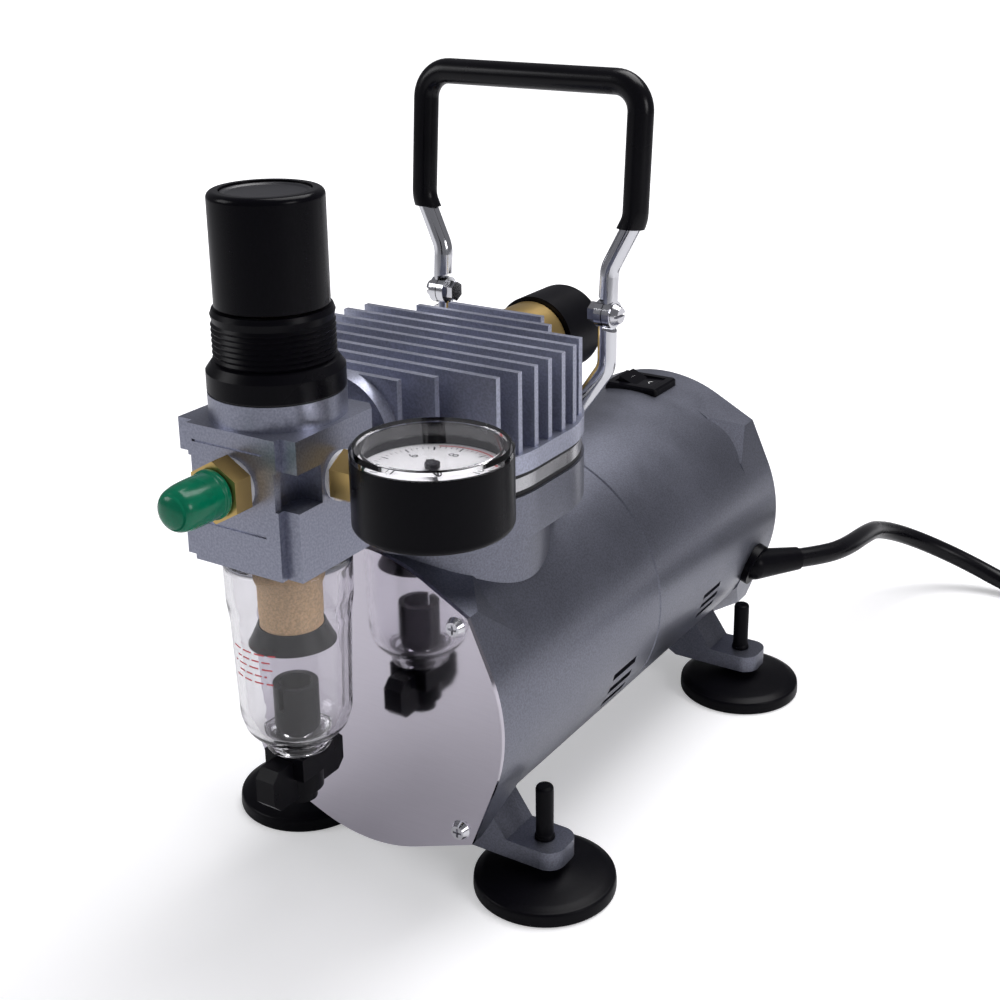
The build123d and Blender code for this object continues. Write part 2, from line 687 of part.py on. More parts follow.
def bracket_rod(r):
    """Bent rod of the lower bracket: a cross bar with two legs."""
    y = HANDLE_PIVOT_Y
    z = bracket_bar_z()
    knee = 150.0
    top = HANDLE_PIVOT_Z - EYE_R + 1
    points = [(-HANDLE_LEG_X, y, top), (-HANDLE_LEG_X, y, knee), (-12, y, z), (12, y, z), (HANDLE_LEG_X, y, knee),
              (HANDLE_LEG_X, y, top)]
    return bent_rod(points, [9, 9, 9, 9], r)


def handle_bracket():
    """Lower rod: a cross bar in the saddle, with two legs up to the pivots."""
    y = HANDLE_PIVOT_Y
    body = bracket_rod(ROD_R)
    eye_in = HANDLE_LEG_X - EYE_T - EYE_GAP / 2
    eye_out = HANDLE_LEG_X - EYE_GAP / 2
    slot = rod((EYE_R + 1.2), (eye_out, y, HANDLE_PIVOT_Z), (HANDLE_LEG_X + 8, y, HANDLE_PIVOT_Z))
    slot += rod((EYE_R + 1.2), (-eye_out, y, HANDLE_PIVOT_Z), (-HANDLE_LEG_X - 8, y, HANDLE_PIVOT_Z))
    body -= slot
    for sign in AIR_X:
        eye = rod(EYE_R, (sign * eye_in, y, HANDLE_PIVOT_Z), (sign * eye_out, y, HANDLE_PIVOT_Z))
        body += eye
        body -= rod(PIVOT_R + RUNNING_GAP, (sign * (eye_in - 4), y, HANDLE_PIVOT_Z),
                    (sign * (eye_out + 4), y, HANDLE_PIVOT_Z))
    return body


def leaned(shape):
    """Handle piece drawn upright over the pivot, leaned to the rear."""
    return Pos(0, HANDLE_PIVOT_Y, HANDLE_PIVOT_Z) * Rot(-HANDLE_LEAN, 0, 0) * shape


def handle_points():
    """Centre line of the handle rod, from the pivots, which are the origin."""
    grip_z = 31.0
    knee = 14.5
    top = HANDLE_TOP
    leg = HANDLE_LEG_X
    out = HANDLE_GRIP_X
    half = [(leg, 0, EYE_R - 1), (leg, 0, knee), (out, 0, grip_z), (out, 0, top)]
    return [(-x, y, z) for x, y, z in half] + half[::-1]


def handle_rod():
    points = handle_points()
    body = bent_rod(points, HANDLE_BENDS, ROD_R)
    inner = HANDLE_LEG_X + EYE_GAP / 2
    outer = inner + EYE_T
    for sign in AIR_X:
        body -= rod(EYE_R + 1.2, (sign * (inner - 8), 0, 0), (sign * inner, 0, 0))
        body -= rod(EYE_R + 1.2, (sign * outer, 0, 0), (sign * (outer + 6), 0, 0))
        body += rod(EYE_R, (sign * inner, 0, 0), (sign * outer, 0, 0))
        body -= rod(PIVOT_R + RUNNING_GAP, (sign * (inner - 1), 0, 0), (sign * (outer + 1), 0, 0))
    return leaned(body)


def handle_grip():
    """Rubber sleeve over the upper part of the rod."""
    above = box(-60, 60, -20, 20, GRIP_LOW, HANDLE_TOP + 20)
    sleeve = bent_rod(handle_points(), HANDLE_BENDS, GRIP_R) & above
    return leaned(sleeve - bent_rod(handle_points(), HANDLE_BENDS, ROD_R))


def handle_pivots():
    """Two shouldered pivot screws, each with its nut."""
    parts = []
    y = HANDLE_PIVOT_Y
    z = HANDLE_PIVOT_Z
    inner = HANDLE_LEG_X - EYE_GAP / 2 - EYE_T
    outer = HANDLE_LEG_X + EYE_GAP / 2 + EYE_T + 0.1
    for sign in AIR_X:
        screw = rod(PIVOT_R, (sign * (inner - 3), y, z), (sign * outer, y, z))
        screw += cone(3.6, 2.6, (sign * outer, y, z), (sign * (outer + 2.2), y, z))
        screw += hex_bar(6.0, (sign * (inner - 3), y, z), (sign * inner, y, z))
        slot = sorted((sign * (outer + 1.2), sign * (outer + 2.3)))
        parts.append(screw - box(*slot, y - 4, y + 4, z - 0.5, z + 0.5))
    return Compound(parts)


# ---------------------------------------------------------------- feet
def suction_foot(x, y):
    """Rubber suction cup with the stem that pulls through the lug."""
    outline = [(0, CUP_HOLLOW), (13, 1.6), (19.5, 0), (FOOT_R, 0), (FOOT_R, CUP_RIM - 0.8), (FOOT_R - 0.8, CUP_RIM),
               (FOOT_R - 3.0, CUP_RIM + 0.9), (8, CUP_TOP), (4.8, CUP_TOP + 1.2), (4.4, LUG_Z0), (STEM_R, LUG_Z0),
               (STEM_R, LUG_TOP), (STEM_FLARE, LUG_TOP), (STEM_FLARE - 0.1, LUG_TOP + 1.0), (STEM_R, LUG_TOP + 1.8),
               (STEM_R, STEM_TOP - 0.4), (STEM_R - 0.4, STEM_TOP), (0, STEM_TOP)]
    return Pos(x, y, 0) * lathe(outline)


# ---------------------------------------------------------------- regulator
def outlet_nipple():
    """Brass nipple that joins the head to the regulator."""
    head_face = HEAD_Y - HEAD_HALF
    body = hex_bar(HEX_FLAT, (0, BLOCK_REAR, PORT_Z), (0, head_face, PORT_Z))
    body += rod_y(PORT_R, BLOCK_REAR - 8, head_face + 8, 0, PORT_Z)
    return body - rod_y(PORT_R - 2, BLOCK_REAR - 8, head_face + 8, 0, PORT_Z)


def regulator_body():
    block = box(-BLOCK_HALF, BLOCK_HALF, BLOCK_FRONT, BLOCK_REAR, BLOCK_Z0, BLOCK_Z1)
    block = chamfer(block.edges().filter_by(Axis.Z).sort_by(Axis.Y)[-2:], 3)
    block += box(-PANEL_HALF, PANEL_HALF, PANEL_Y, BLOCK_FRONT, BLOCK_Z0, BLOCK_Z1)
    for sign in AIR_X:
        notch = sorted((sign * NOTCH_X, sign * (BLOCK_HALF + 1)))
        block -= box(*notch, BLOCK_FRONT - 0.01, NOTCH_Y, *NOTCH_Z)
        groove = sorted((sign * (PANEL_HALF - 0.9), sign * PANEL_HALF))
        block -= box(*groove, PANEL_Y, BLOCK_FRONT, *NOTCH_Z)
    for z, x0, x1 in ((BLOCK_Z1 - 4.6, -13.4, 10.4), (BLOCK_Z0 + 11.6, -10.4, 10.4)):
        block -= box(x0, x1, PANEL_Y, PANEL_Y + 0.5, z - 0.35, z + 0.35)
    block += rod_z(COLLAR_R, BLOCK_Z1, COLLAR_TOP, 0, REG_Y)
    block -= rod_z(12.5, BLOCK_Z1 - 5, COLLAR_TOP, 0, REG_Y)
    block -= rod_z(4, BLOCK_Z0, BLOCK_Z1, 0, REG_Y)
    block -= rod_z(bowl_thread_r() + THREAD_GAP, BLOCK_Z0, BLOCK_Z0 + 6.1, 0, REG_Y)
    block -= rod_y(PORT_R, PANEL_Y, REG_Y - 6, 0, PORT_Z)
    block -= rod_y(PORT_R, BLOCK_REAR - 8, BLOCK_REAR, 0, PORT_Z)
    block -= rod_y(PORT_R - 2, REG_Y, BLOCK_REAR - 8, 0, PORT_Z)
    block -= rod_y(PORT_R - 2, REG_Y - 6, REG_Y, 0, PORT_Z)
    block -= rod(PORT_R, (BLOCK_HALF - 8, GAUGE_Y, PORT_Z), (BLOCK_HALF, GAUGE_Y, PORT_Z))
    return block - rod(PORT_R - 2, (0, GAUGE_Y, PORT_Z), (BLOCK_HALF - 8, GAUGE_Y, PORT_Z))


def diaphragm():
    return rod_z(COLLAR_R - 0.3, COLLAR_TOP, COLLAR_TOP + DIAPHRAGM_T, 0, REG_Y)


def regulator_bonnet():
    """Black bonnet with a bevelled flange and a fine outer thread."""
    z0 = COLLAR_TOP + DIAPHRAGM_T
    outline = [(12.2, z0), (COLLAR_R, z0), (COLLAR_R, z0 + 5.2), (BONNET_R + 0.5, z0 + 7.4)]
    ridge = z0 + 7.8
    pitch = 1.5
    while ridge + pitch < BONNET_TOP - 2:
        outline += [(BONNET_R - 0.5, ridge), (BONNET_R, ridge + pitch / 2)]
        ridge += pitch
    outline += [(BONNET_R - 0.5, ridge), (BONNET_R, BONNET_TOP - 1.4), (BONNET_R - 0.5, BONNET_TOP),
                (SCREW_STEM_R + 0.1, BONNET_TOP), (SCREW_STEM_R + 0.1, BONNET_TOP - 3), (12.2, BONNET_TOP - 3)]
    return Pos(0, REG_Y, 0) * lathe(outline)


def regulator_spring():
    z0 = COLLAR_TOP + DIAPHRAGM_T
    height = BONNET_TOP - 6.2 - z0
    path = Helix(pitch=3.6, height=height - 2.4, radius=8)
    section = Plane(origin=path @ 0, z_dir=path % 0) * Circle(0.9)
    return Pos(0, REG_Y, z0 + 1.2) * sweep(section, path=path)


def adjusting_screw():
    """Screw that the knob turns, with the plate that presses on the spring."""
    z1 = BONNET_TOP - 3.4
    return rod_z(SCREW_STEM_R, z1, KNOB_Z0 + 14, 0, REG_Y) + rod_z(10.5, z1 - 2, z1, 0, REG_Y)


def adjusting_knob():
    """Tall cap knob with a recessed top."""
    height = KNOB_Z1 - KNOB_Z0
    body = rod_z(KNOB_R, KNOB_Z0, KNOB_Z1, 0, REG_Y)
    body = fillet(body.faces().sort_by(Axis.Z)[-1].edges(), 1.8)
    body -= rod_z(KNOB_R - 3.2, KNOB_Z1 - 1.2, KNOB_Z1, 0, REG_Y)
    body -= rod_z(KNOB_R - KNOB_WALL, KNOB_Z0, KNOB_Z0 + height - 8, 0, REG_Y)
    body += rod_z(7, KNOB_Z0 + 2, KNOB_Z1 - 6, 0, REG_Y)
    return body - rod_z(SCREW_STEM_R + RUNNING_GAP, KNOB_Z0 + 2, KNOB_Z0 + 14.3, 0, REG_Y)


# ---------------------------------------------------------------- outlet and gauge
def outlet_fitting():
    y0 = PANEL_Y - TAPE_T
    y1 = y0 - OUTLET_HEX_T
    body = hex_bar(HEX_FLAT, (0, y0, PORT_Z), (0, y1, PORT_Z))
    body += rod(PORT_R, (0, PANEL_Y + 8, PORT_Z), (0, y0, PORT_Z))
    body += rod(OUTLET_THREAD_R, (0, y1, PORT_Z), (0, y1 - OUTLET_LENGTH + CAP_WALL + 4, PORT_Z))
    return body - rod(2.4, (0, PANEL_Y + 8, PORT_Z), (0, y1 - OUTLET_LENGTH, PORT_Z))


def seal_tapes():
    """Wound seal tape showing at the outlet and the gauge."""
    front = rod_y(HEX_FLAT / 2, PANEL_Y - TAPE_T, PANEL_Y, 0, PORT_Z) - rod_y(PORT_R, PANEL_Y - TAPE_T, PANEL_Y, 0, PORT_Z)
    x1 = BLOCK_HALF + TAPE_T
    side = rod(HEX_FLAT / 2 - 0.6, (BLOCK_HALF, GAUGE_Y, PORT_Z), (x1, GAUGE_Y, PORT_Z))
    side -= rod(PORT_R, (BLOCK_HALF, GAUGE_Y, PORT_Z), (x1, GAUGE_Y, PORT_Z))
    return Compound([front, side])


def dust_cap():
    """Push-on cap with a domed end."""
    y0 = PANEL_Y - TAPE_T - OUTLET_HEX_T - 0.2
    body = rod_y(CAP_R, CAP_FRONT, y0, 0, PORT_Z)
    body = fillet(body.faces().sort_by(Axis.Y)[0].edges(), CAP_R - 1.2)
    return body - rod_y(OUTLET_THREAD_R + 0.06, CAP_FRONT + CAP_WALL + 1.5, y0, 0, PORT_Z)


def gauge_stem():
    x0 = BLOCK_HALF + TAPE_T
    x1 = GAUGE_X - GAUGE_R + 0.4
    body = hex_bar(HEX_FLAT - 2, (x0, GAUGE_Y, PORT_Z), (x1, GAUGE_Y, PORT_Z))
    body += rod(PORT_R, (BLOCK_HALF - 8, GAUGE_Y, PORT_Z), (x0, GAUGE_Y, PORT_Z))
    body += rod(PORT_R - 1, (x1, GAUGE_Y, PORT_Z), (x1 + 6, GAUGE_Y, PORT_Z))
    body -= rod_z(GAUGE_R, GAUGE_Z0 - 5, GAUGE_Z1 + 5, GAUGE_X, GAUGE_Y) - gauge_stem_hole()
    return body - rod(2, (BLOCK_HALF - 8, GAUGE_Y, PORT_Z), (x1 + 4, GAUGE_Y, PORT_Z))


def gauge_stem_hole():
    return rod(PORT_R - 1, (GAUGE_X - GAUGE_R - 3, GAUGE_Y, PORT_Z), (GAUGE_X - GAUGE_R + 7, GAUGE_Y, PORT_Z))


def gauge_case():
    body = rod_z(GAUGE_R, GAUGE_Z0, GAUGE_Z1, GAUGE_X, GAUGE_Y)
    body = fillet(body.faces().sort_by(Axis.Z)[0].edges(), 2)
    body -= rod_z(GAUGE_R - 1.4, GAUGE_Z0 + 1.6, GAUGE_Z1, GAUGE_X, GAUGE_Y)
    body += rod_z(GAUGE_R - 1.4, DIAL_Z - 1.5, DIAL_Z - 0.6, GAUGE_X, GAUGE_Y)
    body -= rod_z(1.2, DIAL_Z - 2, DIAL_Z, GAUGE_X, GAUGE_Y)
    return body - gauge_stem_hole()


def gauge_dial():
    plate = rod_z(GAUGE_R - 1.7, DIAL_Z - 0.6, DIAL_Z, GAUGE_X, GAUGE_Y)
    return plate - rod_z(1.2, DIAL_Z - 1, DIAL_Z + 1, GAUGE_X, GAUGE_Y)


def gauge_needle():
    z0 = DIAL_Z + 0.8
    hand = polygon([(-4.5, -1.1), (-4.5, 1.1), (0, 0.8), (NEEDLE_LENGTH, 0.2), (NEEDLE_LENGTH, -0.2), (0, -0.8)])
    body = slab_z(hand, 0, 0.5) + rod_z(2, 0, 1.2) + rod_z(0.9, -2.4, 0)
    return Pos(GAUGE_X, GAUGE_Y, z0) * Rot(0, 0, NEEDLE_ANGLE) * body


def gauge_lens():
    """Clear cap that sits in the case's rim and stands proud of it."""
    top = GAUGE_Z1 + LENS_RISE
    outline = [(0, top - 1.4), (GAUGE_R - 2.8, top - 1.4), (GAUGE_R - 2.8, GAUGE_Z1 - 3), (GAUGE_R - 1.5, GAUGE_Z1 - 3),
               (GAUGE_R - 1.5, GAUGE_Z1), (GAUGE_R, GAUGE_Z1), (GAUGE_R, top - 1.0), (GAUGE_R - 1.0, top), (0, top)]
    return Pos(GAUGE_X, GAUGE_Y, 0) * lathe(outline)


# ---------------------------------------------------------------- filter bowl
def bowl_thread_r():
    return 14.5


def bowl_outline(inset):
    """Half outline of the bowl's outer or inner surface, from the neck down."""
    return [(BOWL_NECK_R - inset, BOWL_STEP_Z), (BOWL_TOP_R - inset, BOWL_STEP_Z - 1.4),
            (BOWL_LOW_R - inset, BOWL_SHOULDER_Z), (BOWL_LOW_R - 0.9 - inset, BOWL_SHOULDER_Z - 3.4),
            (BOWL_LOW_R - 3.2 - inset, BOWL_SHOULDER_Z - 6.4), (BOWL_RING_R + 0.4 - 0.4 * inset, BOWL_SHOULDER_Z - 8.4)]


def filter_bowl():
    outer = [(bowl_thread_r(), BLOCK_Z0 + 6), (bowl_thread_r(), BLOCK_Z0), (BOWL_NECK_R, BLOCK_Z0)]
    outer += bowl_outline(0)
    outer += [(BOWL_RING_R, BOWL_RING_Z + 2.6), (BOWL_RING_R, BOWL_RING_Z + 0.6), (BOWL_RING_R - 0.6, BOWL_RING_Z)]
    inner = [(DRAIN_R - 2.2 + 0.06, BOWL_RING_Z), (DRAIN_R - 2.2 + 0.06, BOWL_SHOULDER_Z - 8.4 + BOWL_WALL)]
    inner += [(r, z + BOWL_WALL * 0.6) for r, z in bowl_outline(BOWL_WALL)[::-1][:-1]]
    inner += [(bowl_thread_r() - BOWL_WALL, BOWL_STEP_Z + 1), (bowl_thread_r() - BOWL_WALL, BLOCK_Z0 + 6)]
    return Pos(0, REG_Y, 0) * lathe(outer + inner)


def filter_element():
    return rod_z(FILTER_R, FILTER_Z0, BLOCK_Z0, 0, REG_Y) - rod_z(3, FILTER_Z0, BLOCK_Z0, 0, REG_Y)


def baffle():
    outline = [(0, FILTER_Z0), (FILTER_R + 0.4, FILTER_Z0), (BAFFLE_R, BAFFLE_Z0), (BAFFLE_R - 1, BAFFLE_Z0),
               (FILTER_R - 1, FILTER_Z0 - 2), (0, FILTER_Z0 - 2)]
    return Pos(0, REG_Y, 0) * lathe(outline)


def drain_valve():
    """Black valve stem with a slot in its top; it turns in the bowl's floor."""
    floor = BOWL_SHOULDER_Z - 8.4 + BOWL_WALL
    neck = DRAIN_R - 2.2
    body = rod_z(DRAIN_R, floor + 0.3, DRAIN_TOP, 0, REG_Y) + rod_z(neck, DRAIN_LOW + 2, floor + 0.3, 0, REG_Y)
    body -= box(-0.8, 0.8, REG_Y - DRAIN_R, REG_Y, DRAIN_TOP - 7, DRAIN_TOP)
    return body - rod_z(DRAIN_R - 1.8, DRAIN_TOP - 6, DRAIN_TOP, 0, REG_Y)


def drain_cock():
    """Winged drain screw with its outlet tip."""
    neck = DRAIN_R - 2.2
    top = BOWL_RING_Z - 0.4
    body = rod_z(DRAIN_R, DRAIN_LOW, top, 0, REG_Y)
    wing = box(-WING_T / 2, WING_T / 2, REG_Y - WING_HALF, REG_Y + WING_HALF, DRAIN_LOW - 1, top - WING_DROP)
    body += chamfer(wing.edges().filter_by(Axis.X), 2.6)
    body += box(-7, 7, REG_Y - 7, REG_Y + 7, top - 7, top)
    body -= rod_z(neck, DRAIN_LOW + 2, top, 0, REG_Y)
    body += rod_z(4.5, DRAIN_TIP, DRAIN_LOW, 0, REG_Y)
    return body - rod_z(1.4, DRAIN_TIP, DRAIN_LOW + 2, 0, REG_Y)


# ---------------------------------------------------------------- intake
def intake_nut():
    body = rod_y(INTAKE_NUT_R, INTAKE_NUT_Y0, INTAKE_NUT_Y1, 0, INTAKE_Z)
    body = chamfer(body.faces().sort_by(Axis.Y)[-1].edges(), 1.2)
    return body - rod_y(PORT_R, INTAKE_NUT_Y0, INTAKE_NUT_Y1, 0, INTAKE_Z)


def intake_filter():
    """Rubber-covered silencer cup, with its inlet holes in the end."""
    body = rod_y(INTAKE_R, INTAKE_NUT_Y1, INTAKE_END_Y, 0, INTAKE_Z)
    body = fillet(body.faces().sort_by(Axis.Y)[-1].edges(), 4)
    body -= rod_y(INTAKE_R - 2, INTAKE_NUT_Y1 + 2, INTAKE_END_Y - 2.5, 0, INTAKE_Z)
    body -= rod_y(PORT_R, INTAKE_NUT_Y1, INTAKE_NUT_Y1 + 2, 0, INTAKE_Z)
    for index in range(6):
        hole = rod_y(1.2, INTAKE_END_Y - 4, INTAKE_END_Y + 1, 0, 6.5)
        body -= Pos(0, 0, INTAKE_Z) * Rot(0, 60 * index, 0) * hole
    return body


# ---------------------------------------------------------------- mains lead
def relief_wall(out):
    """Point over the strain relief's hole, this far out from the housing's surface."""
    angle = math.radians(RELIEF_ANGLE)
    reach = BODY_R + out
    return (reach * math.cos(angle), RELIEF_Y, AXIS_Z - reach * math.sin(angle))


def relief_axis(distance):
    """Point on the strain relief's axis, at this distance from its root."""
    return tuple(Vector(*relief_wall(RELIEF_FLANGE_T / 2)) + Vector(*RELIEF_DIR).normalized() * distance)


def strain_relief():
    """Rubber bushing through the wall, with a flange outside it and a tapered sleeve."""
    outside = rod(RELIEF_FLANGE_R, relief_wall(-1), relief_wall(RELIEF_FLANGE_T))
    outside += Pos(*relief_wall(RELIEF_FLANGE_T / 2)) * Sphere(RELIEF_BORE_R)
    outside += cone(RELIEF_BORE_R, CORD_D / 2 + 0.7, relief_axis(0), relief_axis(RELIEF_LENGTH))
    outside -= rod_y(BODY_R, SEAM_Y, BODY_LENGTH) + running_out_ear((CORNER_X, -CORNER_LOW), COVER_Y, -1)
    through = rod(RELIEF_BORE_R, relief_wall(-WALL - 1.5), relief_wall(0.4))
    return outside + through


def cord_route():
    """Corners of the lead's route from the strain relief's tip to the coil."""
    lie = CORD_D / 2
    return [relief_axis(RELIEF_LENGTH), relief_axis(RELIEF_LENGTH + EXIT_RUN), (70.5, 226, 45.2), (70, 249, 42),
            (67.5, 272, 35.5), (74.5, 295, 25), (94, 310, 12.8), (118, 311, lie), (141, 304, lie), (163.5, 299, lie)]


def cord_radii():
    """Arc radius at each inner corner: 0.45 of the shorter run over the tangent of half the turn."""
    points = [Vector(*p) for p in cord_route()]
    radii = []
    for before, here, after in zip(points, points[1:], points[2:]):
        run_in = here - before
        run_out = after - here
        turn = math.radians(run_in.get_angle(run_out))
        radii.append(0.45 * min(run_in.length, run_out.length) / math.tan(turn / 2))
    return radii


def power_cord():
    radii = cord_radii()
    path = FilletPolyline(*cord_route(), radius=radii)
    section = Plane(origin=path @ 0, z_dir=path % 0) * Circle(CORD_D / 2)
    tube = sweep(section, path=path)
    print("cord radii", [round(r, 1) for r in radii])
    print("cord volume", round(tube.volume), "section times length", round(math.pi * CORD_D ** 2 / 4 * path.length),
          "tube length", round(path.length, 1))
    return tube


def coil_centre():
    """Centre of the coil, which the route's last run joins as a tangent."""
    route = cord_route()
    end = Vector(*route[-1])
    run = (end - Vector(*route[-2])).normalized()
    side = Vector(-run.Y, run.X, 0)
    return end + side * (COIL_MEAN_R + (COIL_TURNS_WIDE - 1) * CORD_D / 2)


def cord_coil():
    """Outer shape of the put-away length: a neat round coil."""
    centre = coil_centre()
    outer = COIL_MEAN_R + COIL_TURNS_WIDE * CORD_D / 2
    inner = COIL_MEAN_R - COIL_TURNS_WIDE * CORD_D / 2
    height = COIL_TURNS_HIGH * CORD_D
    body = rod_z(outer, 0, height, centre.X, centre.Y) - rod_z(inner, 0, height, centre.X, centre.Y)
    return body


def coil_tie():
    """Strap round the coil's turns, a little clear of them."""
    centre = coil_centre()
    wide = COIL_TURNS_WIDE * CORD_D / 2 + TIE_GAP
    high = COIL_TURNS_HIGH * CORD_D + TIE_GAP
    y = centre.Y + COIL_MEAN_R
    half = TIE_W / 2
    loop = box(centre.X - half, centre.X + half, y - wide - TIE_T, y + wide + TIE_T, 0, high + TIE_T)
    return loop - box(centre.X - half, centre.X + half, y - wide, y + wide, 0, high)


def plug_place():
    """Middle of the plug's underside, beside the coil on its far side from the compressor."""
    centre = coil_centre()
    reach = COIL_MEAN_R + COIL_TURNS_WIDE * CORD_D / 2 + PLUG_W / 2 + TIE_GAP
    return centre.X + reach, centre.Y, 0


def plug_body():
    """Moulded plug lying on the floor, with its neck to the front."""
    x, y, z = plug_place()
    body = box(x - PLUG_W / 2, x + PLUG_W / 2, y - PLUG_L / 2, y + PLUG_L / 2, z, z + PLUG_H)
    body = fillet(body.edges().filter_by(Axis.Y), 5)
    neck_y = y - PLUG_L / 2
    middle = z + PLUG_H / 2
    return body + cone(PLUG_H / 2 - 1, CORD_D / 2 + 0.5, (x, neck_y, middle), (x, neck_y - PLUG_NECK, middle))


def plug_pins():
    """The plug's two flat pins."""
    x, y, z = plug_place()
    middle = z + PLUG_H / 2
    face = y + PLUG_L / 2
    parts = []
    for sign in AIR_X:
        pin_x = x + sign * PIN_SPREAD / 2
        parts.append(box(pin_x - PIN_T / 2, pin_x + PIN_T / 2, face, face + PIN_L, middle - PIN_H, middle + PIN_H))
    return parts


# ---------------------------------------------------------------- build
def nodes():
    parts = {
        "front_housing": front_housing(),
        "rear_housing": rear_housing(),
        "rear_cover": rear_cover(),
        "front_plate": front_plate(),
        "case_screws": Compound(flange_screws(0.0, 1) + flange_screws(BODY_LENGTH, -1) + saddle_screws()),
        "cylinder_sleeve": cylinder_sleeve(),
        "head_gaskets": head_gaskets(),
        "valve_plate": valve_plate(),
        "cylinder_head": cylinder_head(),
        "head_bolts": head_bolts(),
        "piston": piston(),
        "piston_ring": piston_ring(),
        "wrist_pin": wrist_pin(),
        "connecting_rod": connecting_rod(),
        "crank_web": crank_web(),
        "motor_shaft": motor_shaft(),
        "bearings": Compound([bearing(FRONT_BEARING_Y), bearing(REAR_BEARING_Y)]),
        "rotor": rotor(),
        "stator": stator(),
        "stator_windings": stator_windings(),
        "rear_bracket": rear_bracket(),
        "cooling_fan": cooling_fan(),
        "switch_bezel": switch_bezel(),
        "switch_rocker": switch_rocker(),
        "handle_saddle": handle_saddle(),
        "handle_bracket": handle_bracket(),
        "handle_pivots": handle_pivots(),
        "handle_rod": handle_rod(),
        "handle_grip": handle_grip(),
        "outlet_nipple": outlet_nipple(),
        "regulator_body": regulator_body(),
        "diaphragm": diaphragm(),
        "regulator_bonnet": regulator_bonnet(),
        "regulator_spring": regulator_spring(),
        "adjusting_screw": adjusting_screw(),
        "adjusting_knob": adjusting_knob(),
        "outlet_fitting": outlet_fitting(),
        "seal_tapes": seal_tapes(),
        "dust_cap": dust_cap(),
        "gauge_stem": gauge_stem(),
        "gauge_case": gauge_case(),
        "gauge_dial": gauge_dial(),
        "gauge_needle": gauge_needle(),
        "gauge_lens": gauge_lens(),
        "filter_bowl": filter_bowl(),
        "filter_element": filter_element(),
        "baffle": baffle(),
        "drain_valve": drain_valve(),
        "drain_cock": drain_cock(),
        "intake_nut": intake_nut(),
        "intake_filter": intake_filter(),
        "strain_relief": strain_relief(),
        "power_cord": power_cord(),
        "cord_coil": cord_coil(),
        "coil_tie": coil_tie(),
        "mains_plug": Compound([plug_body(), *plug_pins()]),
    }
    for row, y in zip(("front", "rear"), FOOT_Y):
        for side, sign in zip(("left", "right"), AIR_X):
            parts[f"foot_{row}_{side}"] = suction_foot(sign * FOOT_X, y)
    return parts


def main():
    os.makedirs("parts", exist_ok=True)
    for name, shape in nodes().items():
        export_step(Pos(0, -Y_MID, 0) * shape, f"parts/{name}.step")
    print("origin sits", round(Y_MID, 3), "mm behind the front plate's face")


if __name__ == "__main__":
    main()
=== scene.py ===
"""Looks for the airbrush compressor: finishes for its frame's pieces, the pieces that are finer than
the frame's own solids, the mains lead, the floor, the lights and the camera. Metres, +Z up."""

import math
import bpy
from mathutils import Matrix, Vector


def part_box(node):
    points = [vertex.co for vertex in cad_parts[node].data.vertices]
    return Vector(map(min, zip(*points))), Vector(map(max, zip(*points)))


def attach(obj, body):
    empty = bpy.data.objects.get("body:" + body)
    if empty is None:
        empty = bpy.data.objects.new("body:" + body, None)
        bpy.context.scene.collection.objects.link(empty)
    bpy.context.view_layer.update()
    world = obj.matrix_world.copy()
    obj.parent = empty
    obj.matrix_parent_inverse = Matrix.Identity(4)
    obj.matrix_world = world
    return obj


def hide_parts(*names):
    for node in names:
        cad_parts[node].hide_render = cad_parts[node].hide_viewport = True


bl_info = {
    "name": "Airbrush compressor looks",
    "version": (1, 0, 0),
    "blender": (4, 5, 0),
    "location": "View3D > Sidebar > Compressor",
    "description": "Finishes, fine pieces, lead and stage for an airbrush compressor",
    "category": "Object",
}

import bmesh
import bpy
from bpy.props import FloatProperty, FloatVectorProperty, IntProperty, PointerProperty
from mathutils import Matrix, Vector

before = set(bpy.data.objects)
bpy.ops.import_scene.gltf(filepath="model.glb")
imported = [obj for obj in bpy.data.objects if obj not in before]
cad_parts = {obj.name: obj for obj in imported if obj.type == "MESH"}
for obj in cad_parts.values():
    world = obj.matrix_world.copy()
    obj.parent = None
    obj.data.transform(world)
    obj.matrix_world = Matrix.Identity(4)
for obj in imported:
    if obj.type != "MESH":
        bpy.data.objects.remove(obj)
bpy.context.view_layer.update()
MM = 0.001

# Route of the lead from the strain relief to the coil, as in the part's source, in metres.
LEAD_ROUTE = (
    (0.05905, 0.13671, 0.04703), (0.06650, 0.14851, 0.04590), (0.0705, 0.16185, 0.0452),
    (0.0700, 0.18485, 0.0420), (0.0675, 0.20785, 0.0355), (0.0745, 0.23085, 0.0250),
    (0.0940, 0.24585, 0.0128), (0.1180, 0.24685, 0.0038), (0.1410, 0.23985, 0.0038),
    (0.1635, 0.23485, 0.0038),
)
DULL = 0.09                # reflection of black plastic and rubber
# Radius and height of each turn of the coil, in diameters from the middle of the turns and the floor.
COIL_LAYS = ((0.5, 0.5), (-0.5, 0.5), (-0.5, 1.5), (0.5, 1.5), (-0.5, 2.5), (0.5, 2.5))
COIL_POINTS = 16
COIL_SHIFT = 0.3           # share of a turn over which it changes lay

